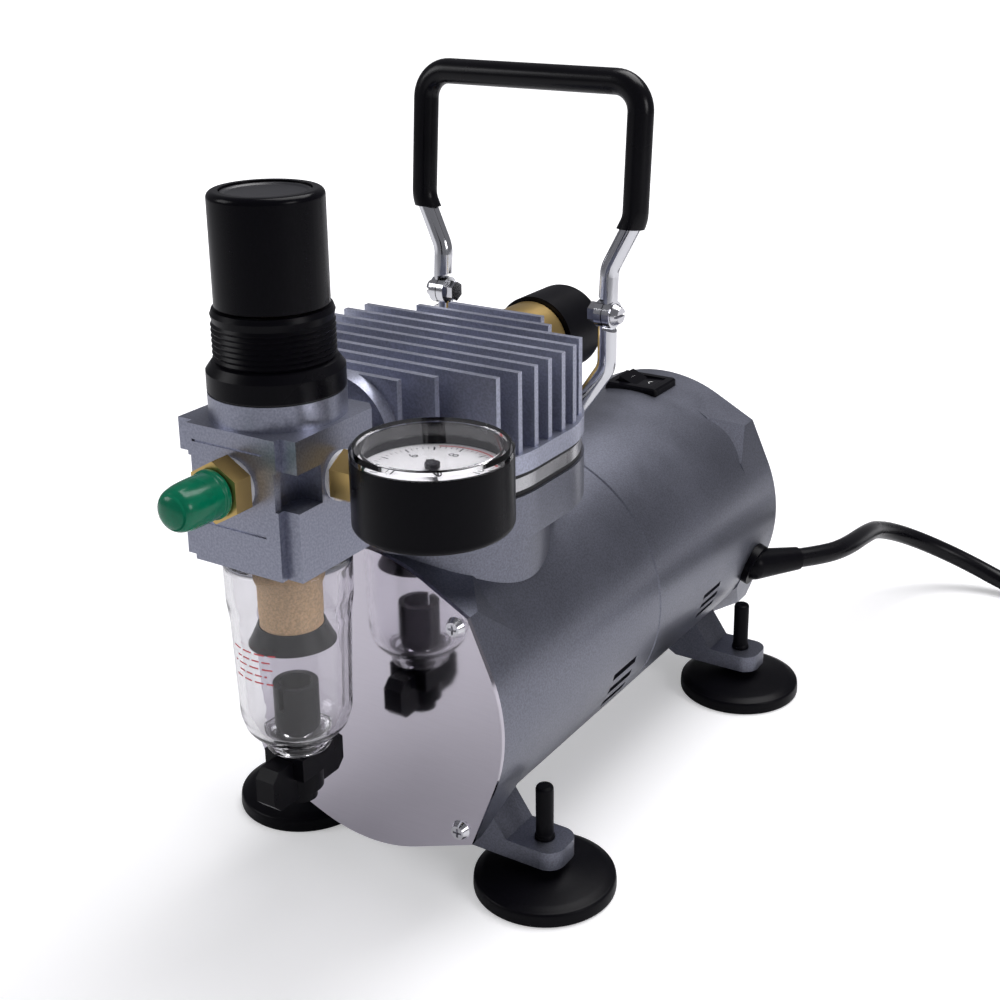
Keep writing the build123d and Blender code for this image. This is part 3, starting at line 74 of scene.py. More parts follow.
# Half outlines of turned pieces, (radius, height) in millimetres.
CUP_OUTLINE = ((0, 3.2), (13, 1.6), (19.5, 0), (22.6, 0), (22.6, 2.2), (22.4, 4.3), (21.3, 4.9), (19.6, 5.6),
               (14.0, 6.5), (8.0, 7.6), (4.8, 8.8), (4.4, 10.7), (2.85, 10.7), (2.85, 17.1), (3.3, 17.1),
               (3.2, 18.0), (2.8, 18.8), (2.85, 34.6), (2.4, 35.5), (0, 35.5))
KNOB_DISC_OUTLINE = ((0, -1.05), (10.6, -1.05), (11.2, -0.55), (11.9, -0.55), (11.9, -1.15))
BOWL_OUTSIDE = ((14.5, 68.0), (14.5, 62.0), (18.0, 62.0), (17.7, 47.0), (16.9, 41.0), (15.9, 12.0),
                (14.6, 7.6), (11.8, 4.6), (9.4, 3.4), (9.3, 0.6), (8.8, 0.0), (4.36, 0.0))
BOWL_INSIDE = ((4.36, 5.6), (9.0, 5.8), (12.0, 7.6), (13.4, 11.0), (13.9, 14.0), (14.8, 42.0), (15.6, 47.5),
               (15.7, 58.0), (12.6, 61.0), (12.5, 68.0), (14.5, 68.0))
TIE_HALF = 5               # half the width of the coil's tie
TIE_THICK = 0.7
TIE_GAP = 0.9
TIE_LIFT = 0.4

# The dial: rim of its marks, their steps round the sweep and the places of the numbers.
DIAL_RIM = 16.8
DIAL_ZERO = math.radians(-48)
DIAL_SWEEP = math.radians(270)
DIAL_STEPS = 50
MAIN_STEP = 5
NUMBER_STEP = 10
NUMBER_SIZE = 4.2
NUMBER_INSET = 5.2
RED_START = 0.72           # share of the sweep where the red zone starts
RED_BARS = 30
PRINT_RISE = 0.06

# Marks on the rocker and on the bowl.
ROCKER_TILT = math.radians(10)
ROCKER_FACE = 3.52
MARK_REACH = 4.2
RING_STEPS = 24
BOWL_LINES = ((-118, -66), (-112, -72), (-118, -66), (-114, -76), (-118, -70))
BOWL_LINE_TOP = 101.0
BOWL_LINE_PITCH = 2.2
BOWL_LINE_STEPS = 14
BOWL_LINE_BREAK = 4        # every fourth step of a line is left bare
BOWL_FACE_R = 16.80        # bowl's radius 100 mm over the floor, with the print's thickness
BOWL_TAPER = 0.033

# Nodes of the frame that keep their shape, by finish.
NODE_FINISHES = {
    "silver paint": ("front_housing", "rear_housing", "rear_cover"),
    "cast silver": ("regulator_body",),
    "cast fins": ("cylinder_head",),
    "polished sheet": ("front_plate",),
    "bright plate": ("case_screws", "handle_pivots", "head_bolts", "outlet_nipple"),
    "chrome": ("handle_rod", "handle_bracket"),
    "ground steel": ("cylinder_sleeve", "valve_plate", "wrist_pin", "motor_shaft", "bearings", "piston_ring",
                     "regulator_spring", "crank_web"),
    "gasket": ("head_gaskets", "diaphragm"),
    "machined alloy": ("piston", "connecting_rod", "rear_bracket"),
    "laminations": ("rotor", "stator"),
    "copper wire": ("stator_windings",),
    "satin plastic": ("cooling_fan", "switch_bezel", "handle_saddle", "gauge_case", "baffle", "drain_valve",
                      "drain_cock", "regulator_bonnet"),
    "gloss plastic": ("adjusting_knob", "switch_rocker"),
    "rubber": ("intake_filter", "strain_relief", "mains_plug"),
    "grip rubber": ("handle_grip",),
    "brass": ("adjusting_screw", "outlet_fitting", "gauge_stem", "intake_nut"),
    "seal tape": ("seal_tapes",),
    "dial print": ("gauge_dial",),
    "needle": ("gauge_needle",),
    "clear plastic": ("gauge_lens",),
    "sintered element": ("filter_element",),
}


# ---------------------------------------------------------------- settings
class CompressorColours(bpy.types.PropertyGroup):
    """Colours of the main finishes."""

    silver: FloatVectorProperty(name="Silver paint", description="Colour of the cast parts", subtype="COLOR",
                                size=3, min=0, max=1, default=(0.185, 0.193, 0.238))
    plate: FloatVectorProperty(name="Polished sheet", description="Tint of the front plate", subtype="COLOR",
                               size=3, min=0, max=1, default=(0.61, 0.58, 0.645))
    black: FloatVectorProperty(name="Black", description="Colour of the plastic and rubber", subtype="COLOR",
                               size=3, min=0, max=1, default=(0.0030, 0.0028, 0.0045))
    brass: FloatVectorProperty(name="Brass", description="Colour of the brass fittings", subtype="COLOR",
                               size=3, min=0, max=1, default=(0.72, 0.50, 0.20))
    cap: FloatVectorProperty(name="Cap", description="Colour of the outlet's cap", subtype="COLOR",
                             size=3, min=0, max=1, default=(0.0, 0.17, 0.085))


class CompressorSizes(bpy.types.PropertyGroup):
    """Sizes of the pieces that are made here."""

    lead: FloatProperty(name="Lead", description="Diameter of the mains lead", subtype="DISTANCE",
                        unit="LENGTH", min=0.005, max=0.01, default=0.0076)
    coil: FloatProperty(name="Coil", description="Radius of the put-away coil", subtype="DISTANCE",
                        unit="LENGTH", min=0.035, max=0.06, default=0.042)
    tick: FloatProperty(name="Tick", description="Length of a main mark on the dial", subtype="DISTANCE",
                        unit="LENGTH", min=0.001, max=0.004, default=0.0024)
    segments: IntProperty(name="Segments", description="Segments round a turned piece", min=24, max=128,
                          default=72)


class CompressorStage(bpy.types.PropertyGroup):
    """The floor, the lights and the camera."""

    floor: FloatVectorProperty(name="Floor", description="Colour of the floor", subtype="COLOR", size=3,
                               min=0, max=1, default=(0.86, 0.86, 0.87))
    key: FloatProperty(name="Key light", description="Power of the light overhead", unit="POWER", min=0,
                       default=15.0)
    fill: FloatProperty(name="Fill light", description="Power of the light at the left", unit="POWER", min=0,
                        default=5.0)
    lens: FloatProperty(name="Lens", description="Focal length of the camera", subtype="DISTANCE_CAMERA",
                        min=10, max=200, default=55.51)


# ---------------------------------------------------------------- finishes
def socket_in(group, name, kind):
    """New input on a node group."""
    group.interface.new_socket(name, in_out="INPUT", socket_type=kind)


def socket_out(group, name, kind):
    """New output on a node group."""
    group.interface.new_socket(name, in_out="OUTPUT", socket_type=kind)


def grain_group():
    """Group that puts out a speckled colour, a clouded roughness and a fine height."""
    name = "Surface grain"
    group = bpy.data.node_groups.get(name)
    if group:
        return group
    group = bpy.data.node_groups.new(name, "ShaderNodeTree")
    socket_in(group, "Scale", "NodeSocketFloat")
    socket_in(group, "Stretch", "NodeSocketVector")
    socket_in(group, "Dark", "NodeSocketColor")
    socket_in(group, "Light", "NodeSocketColor")
    socket_in(group, "Smooth", "NodeSocketFloat")
    socket_in(group, "Rough", "NodeSocketFloat")
    socket_out(group, "Color", "NodeSocketColor")
    socket_out(group, "Roughness", "NodeSocketFloat")
    socket_out(group, "Height", "NodeSocketFloat")
    nodes = group.nodes
    links = group.links
    given = nodes.new("NodeGroupInput")
    result = nodes.new("NodeGroupOutput")
    place = nodes.new("ShaderNodeTexCoord")
    stretch = nodes.new("ShaderNodeVectorMath")
    stretch.operation = "MULTIPLY"
    links.new(place.outputs["Object"], stretch.inputs[0])
    links.new(given.outputs["Stretch"], stretch.inputs[1])
    fine = nodes.new("ShaderNodeTexNoise")
    fine.inputs["Detail"].default_value = 3.0
    links.new(stretch.outputs[0], fine.inputs["Vector"])
    links.new(given.outputs["Scale"], fine.inputs["Scale"])
    spread = nodes.new("ShaderNodeMapRange")
    spread.inputs["From Min"].default_value = 0.36
    spread.inputs["From Max"].default_value = 0.64
    links.new(fine.outputs["Fac"], spread.inputs["Value"])
    cloud = nodes.new("ShaderNodeTexNoise")
    cloud.inputs["Scale"].default_value = 34.0
    cloud.inputs["Detail"].default_value = 5.0
    links.new(place.outputs["Object"], cloud.inputs["Vector"])
    both = nodes.new("ShaderNodeMix")
    both.inputs["Factor"].default_value = 0.45
    links.new(spread.outputs["Result"], both.inputs["A"])
    links.new(cloud.outputs["Fac"], both.inputs["B"])
    colour = nodes.new("ShaderNodeMix")
    colour.data_type = "RGBA"
    links.new(both.outputs["Result"], colour.inputs["Factor"])
    links.new(given.outputs["Dark"], colour.inputs["A"])
    links.new(given.outputs["Light"], colour.inputs["B"])
    rough = nodes.new("ShaderNodeMapRange")
    rough.inputs["From Min"].default_value = 0.30
    rough.inputs["From Max"].default_value = 0.70
    links.new(cloud.outputs["Fac"], rough.inputs["Value"])
    links.new(given.outputs["Smooth"], rough.inputs["To Min"])
    links.new(given.outputs["Rough"], rough.inputs["To Max"])
    links.new(colour.outputs["Result"], result.inputs["Color"])
    links.new(rough.outputs["Result"], result.inputs["Roughness"])
    links.new(fine.outputs["Fac"], result.inputs["Height"])
    return group


def shaded(colour, share):
    """Colour made darker or lighter by a share, with an alpha."""
    return tuple(min(1.0, c * share) for c in colour) + (1.0,)


def finish(name, colour, smooth, rough, scale=900.0, contrast=0.12, bump=0.10, stretch=(1, 1, 1), **plain):
    """Material from the grain group, with its even values on the shader's own sockets."""
    material = bpy.data.materials.get(name)
    if material:
        return material
    material = bpy.data.materials.new(name)
    material.use_nodes = True
    nodes = material.node_tree.nodes
    links = material.node_tree.links
    shader = nodes["Principled BSDF"]
    grain = nodes.new("ShaderNodeGroup")
    grain.node_tree = grain_group()
    grain.inputs["Scale"].default_value = scale
    grain.inputs["Stretch"].default_value = stretch
    grain.inputs["Dark"].default_value = shaded(colour, 1 - contrast)
    grain.inputs["Light"].default_value = shaded(colour, 1 + contrast)
    grain.inputs["Smooth"].default_value = smooth
    grain.inputs["Rough"].default_value = rough
    relief = nodes.new("ShaderNodeBump")
    relief.inputs["Strength"].default_value = bump
    relief.inputs["Distance"].default_value = 0.2 * MM
    links.new(grain.outputs["Color"], shader.inputs["Base Color"])
    links.new(grain.outputs["Roughness"], shader.inputs["Roughness"])
    links.new(grain.outputs["Height"], relief.inputs["Height"])
    links.new(relief.outputs["Normal"], shader.inputs["Normal"])
    for socket, value in plain.items():
        shader.inputs[socket.replace("_", " ")].default_value = value
    return material


def lit_through(material):
    """The clear material with nearly clear shadows, as light gets through thin clear plastic."""
    nodes = material.node_tree.nodes
    if nodes.get("Light Path"):
        return material
    rays = nodes.new("ShaderNodeLightPath")
    solid = nodes.new("ShaderNodeMapRange")
    solid.inputs["To Min"].default_value = 1.0
    solid.inputs["To Max"].default_value = 0.12
    material.node_tree.links.new(rays.outputs["Is Shadow Ray"], solid.inputs["Value"])
    material.node_tree.links.new(solid.outputs["Result"], nodes["Principled BSDF"].inputs["Alpha"])
    return material


def make_finishes(colours):
    """Every finish of the compressor, by its name."""
    metal = {"Metallic": 1.0}
    black = colours.black
    return {
        "silver paint": finish("silver paint", colours.silver, 0.30, 0.42, 1700, 0.26, 0.16, Metallic=0.86,
                               Coat_Weight=0.25, Coat_Roughness=0.18),
        "cast silver": finish("cast silver", shaded(colours.silver, 1.55)[:3], 0.28, 0.42, 1500, 0.24, 0.2,
                              Metallic=0.86),
        "cast fins": finish("cast fins", shaded(colours.silver, 2.3)[:3], 0.28, 0.44, 1500, 0.24, 0.2,
                            Metallic=0.8),
        "polished sheet": finish("polished sheet", colours.plate, 0.035, 0.09, 120, 0.03, 0.004,
                                 (1, 1, 30), **metal),
        "bright plate": finish("bright plate", (0.70, 0.70, 0.73), 0.12, 0.24, 900, 0.06, 0.04, **metal),
        "chrome": finish("chrome", (0.72, 0.73, 0.77), 0.05, 0.12, 500, 0.04, 0.01, **metal),
        "ground steel": finish("ground steel", (0.52, 0.52, 0.54), 0.20, 0.36, 800, 0.10, 0.06, (1, 6, 1),
                               **metal),
        "gasket": finish("gasket", (0.012, 0.012, 0.014), 0.55, 0.75, 1400, 0.3, 0.2),
        "machined alloy": finish("machined alloy", (0.62, 0.63, 0.66), 0.25, 0.40, 700, 0.10, 0.06, **metal),
        "laminations": finish("laminations", (0.10, 0.10, 0.11), 0.40, 0.60, 300, 0.25, 0.2, (1, 14, 1),
                              Metallic=0.8),
        "copper wire": finish("copper wire", (0.55, 0.20, 0.07), 0.25, 0.45, 500, 0.25, 0.5, (1, 5, 1),
                              Metallic=0.9),
        "satin plastic": finish("satin plastic", black, 0.24, 0.36, 2400, 0.2, 0.10, Specular_IOR_Level=DULL),
        "gloss plastic": finish("gloss plastic", black, 0.16, 0.26, 2000, 0.2, 0.04, Specular_IOR_Level=DULL),
        "rubber": finish("rubber", black, 0.30, 0.44, 1500, 0.3, 0.12, Specular_IOR_Level=DULL),
        "grip rubber": finish("grip rubber", black, 0.20, 0.32, 1700, 0.25, 0.08, Specular_IOR_Level=0.2),
        "brass": finish("brass", colours.brass, 0.18, 0.34, 900, 0.14, 0.06, (1, 3, 1), **metal),
        "seal tape": finish("seal tape", (0.78, 0.78, 0.80), 0.45, 0.62, 700, 0.10, 0.5, (6, 6, 1)),
        "dial print": finish("dial print", (0.78, 0.78, 0.79), 0.34, 0.42, 600, 0.02, 0.01),
        "needle": finish("needle", (0.02, 0.02, 0.025), 0.30, 0.40, 900, 0.2, 0.05),
        "dial ink": finish("dial ink", (0.02, 0.02, 0.03), 0.40, 0.55, 900, 0.3, 0.05),
        "red ink": finish("red ink", (0.62, 0.06, 0.07), 0.40, 0.55, 900, 0.2, 0.05),
        "white ink": finish("white ink", (0.7, 0.7, 0.7), 0.40, 0.55, 900, 0.1, 0.05),
        "knob disc": finish("knob disc", (0.016, 0.016, 0.020), 0.34, 0.46, 1900, 0.2, 0.14),
        "vinyl cap": finish("vinyl cap", colours.cap, 0.20, 0.30, 500, 0.12, 0.05, Coat_Weight=0.15,
                            Coat_Roughness=0.12, Specular_IOR_Level=0.25),
        "lead sheath": finish("lead sheath", black, 0.24, 0.36, 1300, 0.25, 0.08, Specular_IOR_Level=0.2),
        "clear plastic": lit_through(finish("clear plastic", (0.95, 0.945, 0.96), 0.015, 0.04, 90, 0.015,
                                            0.01, Transmission_Weight=1.0, IOR=1.47)),
        "sintered element": finish("sintered element", (0.60, 0.40, 0.22), 0.6, 0.85, 1500, 0.3, 0.7),
    }


def node_box(node):
    """Middle and lowest and highest corners of a node of the frame."""
    low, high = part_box(node)
    return (low + high) / 2, low, high


def show(name, mesh, material, body, slot, *nodes):
    """New piece from a mesh: its finish, the body that it rides on and the nodes that it stands for."""
    piece = bpy.data.objects.new(name, mesh)
    bpy.context.scene.collection.objects.link(piece)
    piece.data.materials.clear()
    piece.data.materials.append(material)
    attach(piece, body)
    if nodes:
        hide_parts(*nodes)
    return piece


def turned_mesh(name, profile, segments, place=Vector(), axis="Z"):
    """Mesh of revolution from (radius, height) points, in millimetres, with smooth faces."""
    turn = {"Z": Matrix.Identity(4), "Y": Matrix.Rotation(math.radians(90), 4, "X")}[axis]
    mesh = bpy.data.meshes.new(name)
    sheet = bmesh.new()
    rings = []
    for r, z in profile:
        count = 1 if r == 0 else segments
        ring = []
        for step in range(count):
            angle = 2 * math.pi * step / segments
            point = Vector((r * math.cos(angle), r * math.sin(angle), z)) * MM
            ring.append(sheet.verts.new(place + turn @ point))
        rings.append(ring)
    for low, high in zip(rings, rings[1:]):
        for step in range(segments):
            after = (step + 1) % segments
            if len(low) == 1:
                sheet.faces.new((low[0], high[after], high[step]))
            elif len(high) == 1:
                sheet.faces.new((low[step], low[after], high[0]))
            else:
                sheet.faces.new((low[step], low[after], high[after], high[step]))
    bmesh.ops.recalc_face_normals(sheet, faces=sheet.faces)
    for face in sheet.faces:
        face.smooth = True
    sheet.to_mesh(mesh)
    sheet.free()
    return mesh


def rounded(points, radius, steps=4):
    """Outline of a turned piece with its inner corners rounded off."""
    result = [points[0]]
    for before, here, after in zip(points, points[1:], points[2:]):
        centre = Vector(here)
        back = Vector(before) - centre
        on = Vector(after) - centre
        reach = min(radius, back.length / 2, on.length / 2)
        start = centre + back.normalized() * reach
        end = centre + on.normalized() * reach
        for step in range(steps + 1):
            t = step / steps
            point = start * (1 - t) ** 2 + centre * 2 * t * (1 - t) + end * t ** 2
            result.append(tuple(point))
    result.append(points[-1])
    return result


# ---------------------------------------------------------------- pieces
class COMPRESSOR_OT_finishes(bpy.types.Operator):
    """Give each node of the frame that keeps its shape its finish."""

    bl_idname = "compressor.finishes"
    bl_label = "Finishes"

    def execute(self, context):
        finishes = make_finishes(context.scene.compressor_colours)
        for finish_name, nodes in NODE_FINISHES.items():
            for node in nodes:
                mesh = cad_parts[node].data
                mesh.materials.clear()
                mesh.materials.append(finishes[finish_name])
        return {"FINISHED"}


def coil_points(end, heading, radius, diameter):
    """Points of the coil's turns, which start at the route's end and run the way it heads."""
    left = Vector((-heading.y, heading.x, 0))
    centre = end + left * (radius + diameter / 2)
    first = math.atan2(end.y - centre.y, end.x - centre.x)
    # A curve of the second degree runs inside its points, so they are set a little further out.
    swell = 1 / (0.25 * math.cos(2 * math.pi / COIL_POINTS) + 0.75)
    points = []
    total = len(COIL_LAYS) * COIL_POINTS
    for step in range(1, total):
        turn, share = divmod(step / COIL_POINTS, 1)
        here = COIL_LAYS[int(turn)]
        after = COIL_LAYS[min(int(turn) + 1, len(COIL_LAYS) - 1)]
        t = max(0.0, (share - 1 + COIL_SHIFT) / COIL_SHIFT)
        t = t * t * (3 - 2 * t)
        out = here[0] * (1 - t) + after[0] * t
        up = here[1] * (1 - t) + after[1] * t
        angle = first + 2 * math.pi * step / COIL_POINTS
        reach = (radius + out * diameter) * swell
        points.append(centre + Vector((reach * math.cos(angle), reach * math.sin(angle), up * diameter)) -
                      Vector((0, 0, centre.z)))
    return centre, points


class COMPRESSOR_OT_lead(bpy.types.Operator):
    """Make the mains lead with its coil, and the tie round the coil."""

    bl_idname = "compressor.lead"
    bl_label = "Mains lead"

    def execute(self, context):
        sizes = context.scene.compressor_sizes
        finishes = make_finishes(context.scene.compressor_colours)
        route = [Vector(p) for p in LEAD_ROUTE]
        heading = (route[-1] - route[-2]).normalized()
        centre, turns = coil_points(route[-1], heading, sizes.coil, sizes.lead)
        plug_mid, plug_low, plug_high = node_box("mains_plug")
        neck = Vector((plug_mid.x, plug_low.y, (plug_low.z + plug_high.z) / 2))
        ease = [neck + Vector((-0.014, -0.040, -0.0035)), neck + Vector((-0.001, -0.022, -0.003)),
                neck + Vector((0, -0.006, 0)), neck + Vector((0, 0.002, 0))]
        points = route + turns + ease
        curve = bpy.data.curves.new("lead", "CURVE")
        curve.dimensions = "3D"
        curve.bevel_depth = sizes.lead / 2
        curve.bevel_resolution = 6
        curve.use_fill_caps = True
        spline = curve.splines.new("NURBS")
        spline.points.add(len(points) - 1)
        for target, point in zip(spline.points, points):
            target.co = (*point, 1.0)
        spline.order_u = 3
        spline.use_endpoint_u = True
        spline.resolution_u = 8
        lead = show("lead", curve, finishes["lead sheath"], "base", "black_rubber", "power_cord", "cord_coil")
        tie = self.tie(centre, sizes)
        tie_piece = show("lead_tie", tie, finishes["satin plastic"], "base", "black_plastic", "coil_tie")
        return {"FINISHED"}

    def tie(self, centre, sizes):
        """Strap round the coil's section, at its rear."""
        gap = TIE_GAP * MM
        wide = sizes.lead + gap
        high = 3 * sizes.lead + gap
        half = TIE_HALF * MM
        middle = centre.y + sizes.coil
        low = TIE_LIFT * MM
        outline = [(middle - wide, low), (middle + wide, low), (middle + wide, high), (middle - wide, high)]
        mesh = bpy.data.meshes.new("lead_tie")
        sheet = bmesh.new()
        rings = []
        for x in (centre.x - half, centre.x + half):
            rings.append([sheet.verts.new((x, y, z)) for y, z in outline])
        for index in range(len(outline)):
            after = (index + 1) % len(outline)
            sheet.faces.new((rings[0][index], rings[0][after], rings[1][after], rings[1][index]))
        bmesh.ops.bevel(sheet, geom=[e for e in sheet.edges if abs(e.verts[0].co.x - e.verts[1].co.x) > half],
                        offset=2 * MM, segments=4, affect="EDGES")
        bmesh.ops.recalc_face_normals(sheet, faces=sheet.faces)
        bmesh.ops.solidify(sheet, geom=sheet.faces[:], thickness=TIE_THICK * MM)
        sheet.to_mesh(mesh)
        sheet.free()
        return mesh


class COMPRESSOR_OT_feet(bpy.types.Operator):
    """Make the four rubber suction feet with their stems."""

    bl_idname = "compressor.feet"
    bl_label = "Suction feet"

    def execute(self, context):
        finishes = make_finishes(context.scene.compressor_colours)
        profile = rounded(CUP_OUTLINE, 0.8, 3)
        segments = context.scene.compressor_sizes.segments
        for row in ("front", "rear"):
            for side in ("left", "right"):
                node = f"foot_{row}_{side}"
                middle, low, _ = node_box(node)
                place = Vector((middle.x, middle.y, low.z))
                mesh = turned_mesh(f"cup_{row}_{side}", profile, segments, place)
                show(f"cup_{row}_{side}", mesh, finishes["rubber"], "base", "black_rubber", node)
        return {"FINISHED"}


class COMPRESSOR_OT_cap(bpy.types.Operator):
    """Make the vinyl cap on the outlet, with its lip and its domed end."""

    bl_idname = "compressor.cap"
    bl_label = "Outlet cap"

    def execute(self, context):
        finishes = make_finishes(context.scene.compressor_colours)
        middle, low, high = node_box("dust_cap")
        length = (high.y - low.y) / MM
        outline = [(5.0, 3.5), (5.0, 0.0), (6.8, 0.0), (6.8, 1.6), (6.3, 2.2), (6.45, 6.0), (6.3, 11.0),
                   (5.6, length - 2.4), (3.6, length - 0.7), (0, length)]
        profile = rounded(outline, 1.6, 5)
        place = Vector((middle.x, high.y, middle.z))
        mesh = turned_mesh("outlet_cap", profile, context.scene.compressor_sizes.segments, place, "Y")
        show("outlet_cap", mesh, finishes["vinyl cap"], "cap", "green_cap", "dust_cap")
        return {"FINISHED"}


class COMPRESSOR_OT_knob(bpy.types.Operator):
    """Make the disc that is let into the knob's top."""

    bl_idname = "compressor.knob"
    bl_label = "Knob disc"

    def execute(self, context):
        finishes = make_finishes(context.scene.compressor_colours)
        middle, _, high = node_box("adjusting_knob")
        segments = context.scene.compressor_sizes.segments
        place = Vector((middle.x, middle.y, high.z))
        mesh = turned_mesh("knob_disc", rounded(KNOB_DISC_OUTLINE, 0.2, 2), segments, place)
        show("knob_disc", mesh, finishes["knob disc"], "knob", "black_plastic")
        return {"FINISHED"}


def add_bar(sheet, place, length, width, turn):
    """Thin flat bar on a level face, its length along the turned X axis."""
    x, y = length / 2, width / 2
    corners = ((-x, -y), (x, -y), (x, y), (-x, y))
    spin = Matrix.Rotation(turn, 3, "Z")
    sheet.faces.new([sheet.verts.new(place + spin @ Vector((*corner, 0))) for corner in corners])


def add_text(sheet, body, size, place, turn):
    """Number laid flat on a level face."""
    curve = bpy.data.curves.new("number", "FONT")
    curve.body = body
    curve.size = size
    curve.align_x = "CENTER"
    curve.align_y = "CENTER"
    holder = bpy.data.objects.new("number", curve)
    mesh = bpy.data.meshes.new_from_object(holder)
    mesh.transform(Matrix.Translation(place) @ Matrix.Rotation(turn, 4, "Z"))
    sheet.from_mesh(mesh)
    bpy.data.objects.remove(holder)
    bpy.data.curves.remove(curve)
    bpy.data.meshes.remove(mesh)


class COMPRESSOR_OT_dial(bpy.types.Operator):
    """Print the gauge's marks and numbers on its dial."""

    bl_idname = "compressor.dial"
    bl_label = "Dial marks"

    def execute(self, context):
        finishes = make_finishes(context.scene.compressor_colours)
        tick = context.scene.compressor_sizes.tick
        middle, _, high = node_box("gauge_dial")
        face = Vector((middle.x, middle.y, high.z + PRINT_RISE * MM))
        rim = DIAL_RIM * MM
        black = bmesh.new()
        red = bmesh.new()
        for step in range(DIAL_STEPS + 1):
            angle = DIAL_ZERO - DIAL_SWEEP * step / DIAL_STEPS
            main = step % MAIN_STEP == 0
            length = tick if main else tick * 0.5
            out = Vector((math.cos(angle), math.sin(angle), 0))
            add_bar(black, face + out * (rim - length / 2), length, (0.45 if main else 0.22) * MM, angle)
        for step in range(0, DIAL_STEPS + 1, NUMBER_STEP):
            angle = DIAL_ZERO - DIAL_SWEEP * step / DIAL_STEPS
            out = Vector((math.cos(angle), math.sin(angle), 0))
            place = face + out * (rim - NUMBER_INSET * MM)
            add_text(black, str(step // MAIN_STEP), NUMBER_SIZE * MM, place, math.pi / 2)
        for step in range(RED_BARS + 1):
            angle = DIAL_ZERO - DIAL_SWEEP * (RED_START + (1 - RED_START) * step / RED_BARS)
            out = Vector((math.cos(angle), math.sin(angle), 0))
            add_bar(red, face + out * (rim + 0.7 * MM), 0.6 * MM, 0.75 * MM, angle)
        for name, sheet, ink in (("dial_marks", black, "dial ink"), ("dial_red_zone", red, "red ink")):
            mesh = bpy.data.meshes.new(name)
            sheet.to_mesh(mesh)
            sheet.free()
            show(name, mesh, finishes[ink], "base", "needle_dark")
        return {"FINISHED"}


class COMPRESSOR_OT_switch_marks(bpy.types.Operator):
    """Print the on and off marks on the rocker."""

    bl_idname = "compressor.switch_marks"
    bl_label = "Switch marks"

    def execute(self, context):
        finishes = make_finishes(context.scene.compressor_colours)
        middle, _, _ = node_box("switch_rocker")
        sheet = bmesh.new()
        add_bar(sheet, Vector((-MARK_REACH, 0, ROCKER_FACE)) * MM, 0.5 * MM, 3.0 * MM, 0)
        inner = []
        outer = []
        for step in range(RING_STEPS):
            angle = 2 * math.pi * step / RING_STEPS
            out = Vector((0.75 * math.cos(angle), math.sin(angle), 0))
            inner.append(sheet.verts.new(Vector((MARK_REACH, 0, ROCKER_FACE)) * MM + out * 1.1 * MM))
            outer.append(sheet.verts.new(Vector((MARK_REACH, 0, ROCKER_FACE)) * MM + out * 1.5 * MM))
        for step in range(RING_STEPS):
            after = (step + 1) % RING_STEPS
            sheet.faces.new((inner[step], outer[step], outer[after], inner[after]))
        mesh = bpy.data.meshes.new("switch_marks")
        sheet.to_mesh(mesh)
        sheet.free()
        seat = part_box("switch_bezel")[1].z - 3.33 * MM
        mesh.transform(Matrix.Translation(Vector((0, middle.y, seat))) @ Matrix.Rotation(ROCKER_TILT, 4, "Y"))
        show("switch_marks", mesh, finishes["white ink"], "switch", "white_tape")
        return {"FINISHED"}


class COMPRESSOR_OT_bowl(bpy.types.Operator):
    """Make the moulded filter bowl, with its rounded floor and its drain neck."""

    bl_idname = "compressor.bowl"
    bl_label = "Filter bowl"

    def execute(self, context):
        finishes = make_finishes(context.scene.compressor_colours)
        middle, low, _ = node_box("filter_bowl")
        mesh = turned_mesh("bowl", rounded(BOWL_OUTSIDE + BOWL_INSIDE, 1.4, 5),
                           context.scene.compressor_sizes.segments, Vector((middle.x, middle.y, low.z)))
        show("bowl", mesh, finishes["clear plastic"], "base", "clear_plastic", "filter_bowl")
        return {"FINISHED"}


class COMPRESSOR_OT_bowl_marks(bpy.types.Operator):
    """Print the level marks on the bowl's front."""

    bl_idname = "compressor.bowl_marks"
    bl_label = "Bowl marks"

    def execute(self, context):
        finishes = make_finishes(context.scene.compressor_colours)
        middle, _, _ = node_box("filter_bowl")
        sheet = bmesh.new()
        steps = BOWL_LINE_STEPS
        for line, (start, end) in enumerate(BOWL_LINES):
            z = (BOWL_LINE_TOP - BOWL_LINE_PITCH * line) * MM
            verts = []
            for step in range(steps + 1):
                angle = math.radians(start + (end - start) * step / steps)
                r = (BOWL_FACE_R + (z / MM - 100) * BOWL_TAPER) * MM
                spot = Vector((middle.x + r * math.cos(angle), middle.y + r * math.sin(angle), z))
                verts.append((sheet.verts.new(spot), sheet.verts.new(spot + Vector((0, 0, 0.45 * MM)))))
            for step in range(steps):
                if (step + line) % BOWL_LINE_BREAK == BOWL_LINE_BREAK - 1:
                    continue
                sheet.faces.new((verts[step][0], verts[step + 1][0], verts[step + 1][1], verts[step][1]))
        loose = [v for v in sheet.verts if not v.link_faces]
        bmesh.ops.delete(sheet, geom=loose, context="VERTS")
        mesh = bpy.data.meshes.new("bowl_marks")
        sheet.to_mesh(mesh)
        sheet.free()
        show("bowl_marks", mesh, finishes["red ink"], "base", "needle_dark")
        return {"FINISHED"}


# ---------------------------------------------------------------- stage
AZIMUTH = math.radians(32.33)
ELEVATION = math.radians(18.54)
ROLL = math.radians(-0.62)
CAMERA_PLACE = Vector((0.26095, -0.39085, 0.29819))
CAMERA_SHIFT = (-0.0107, -0.0969)


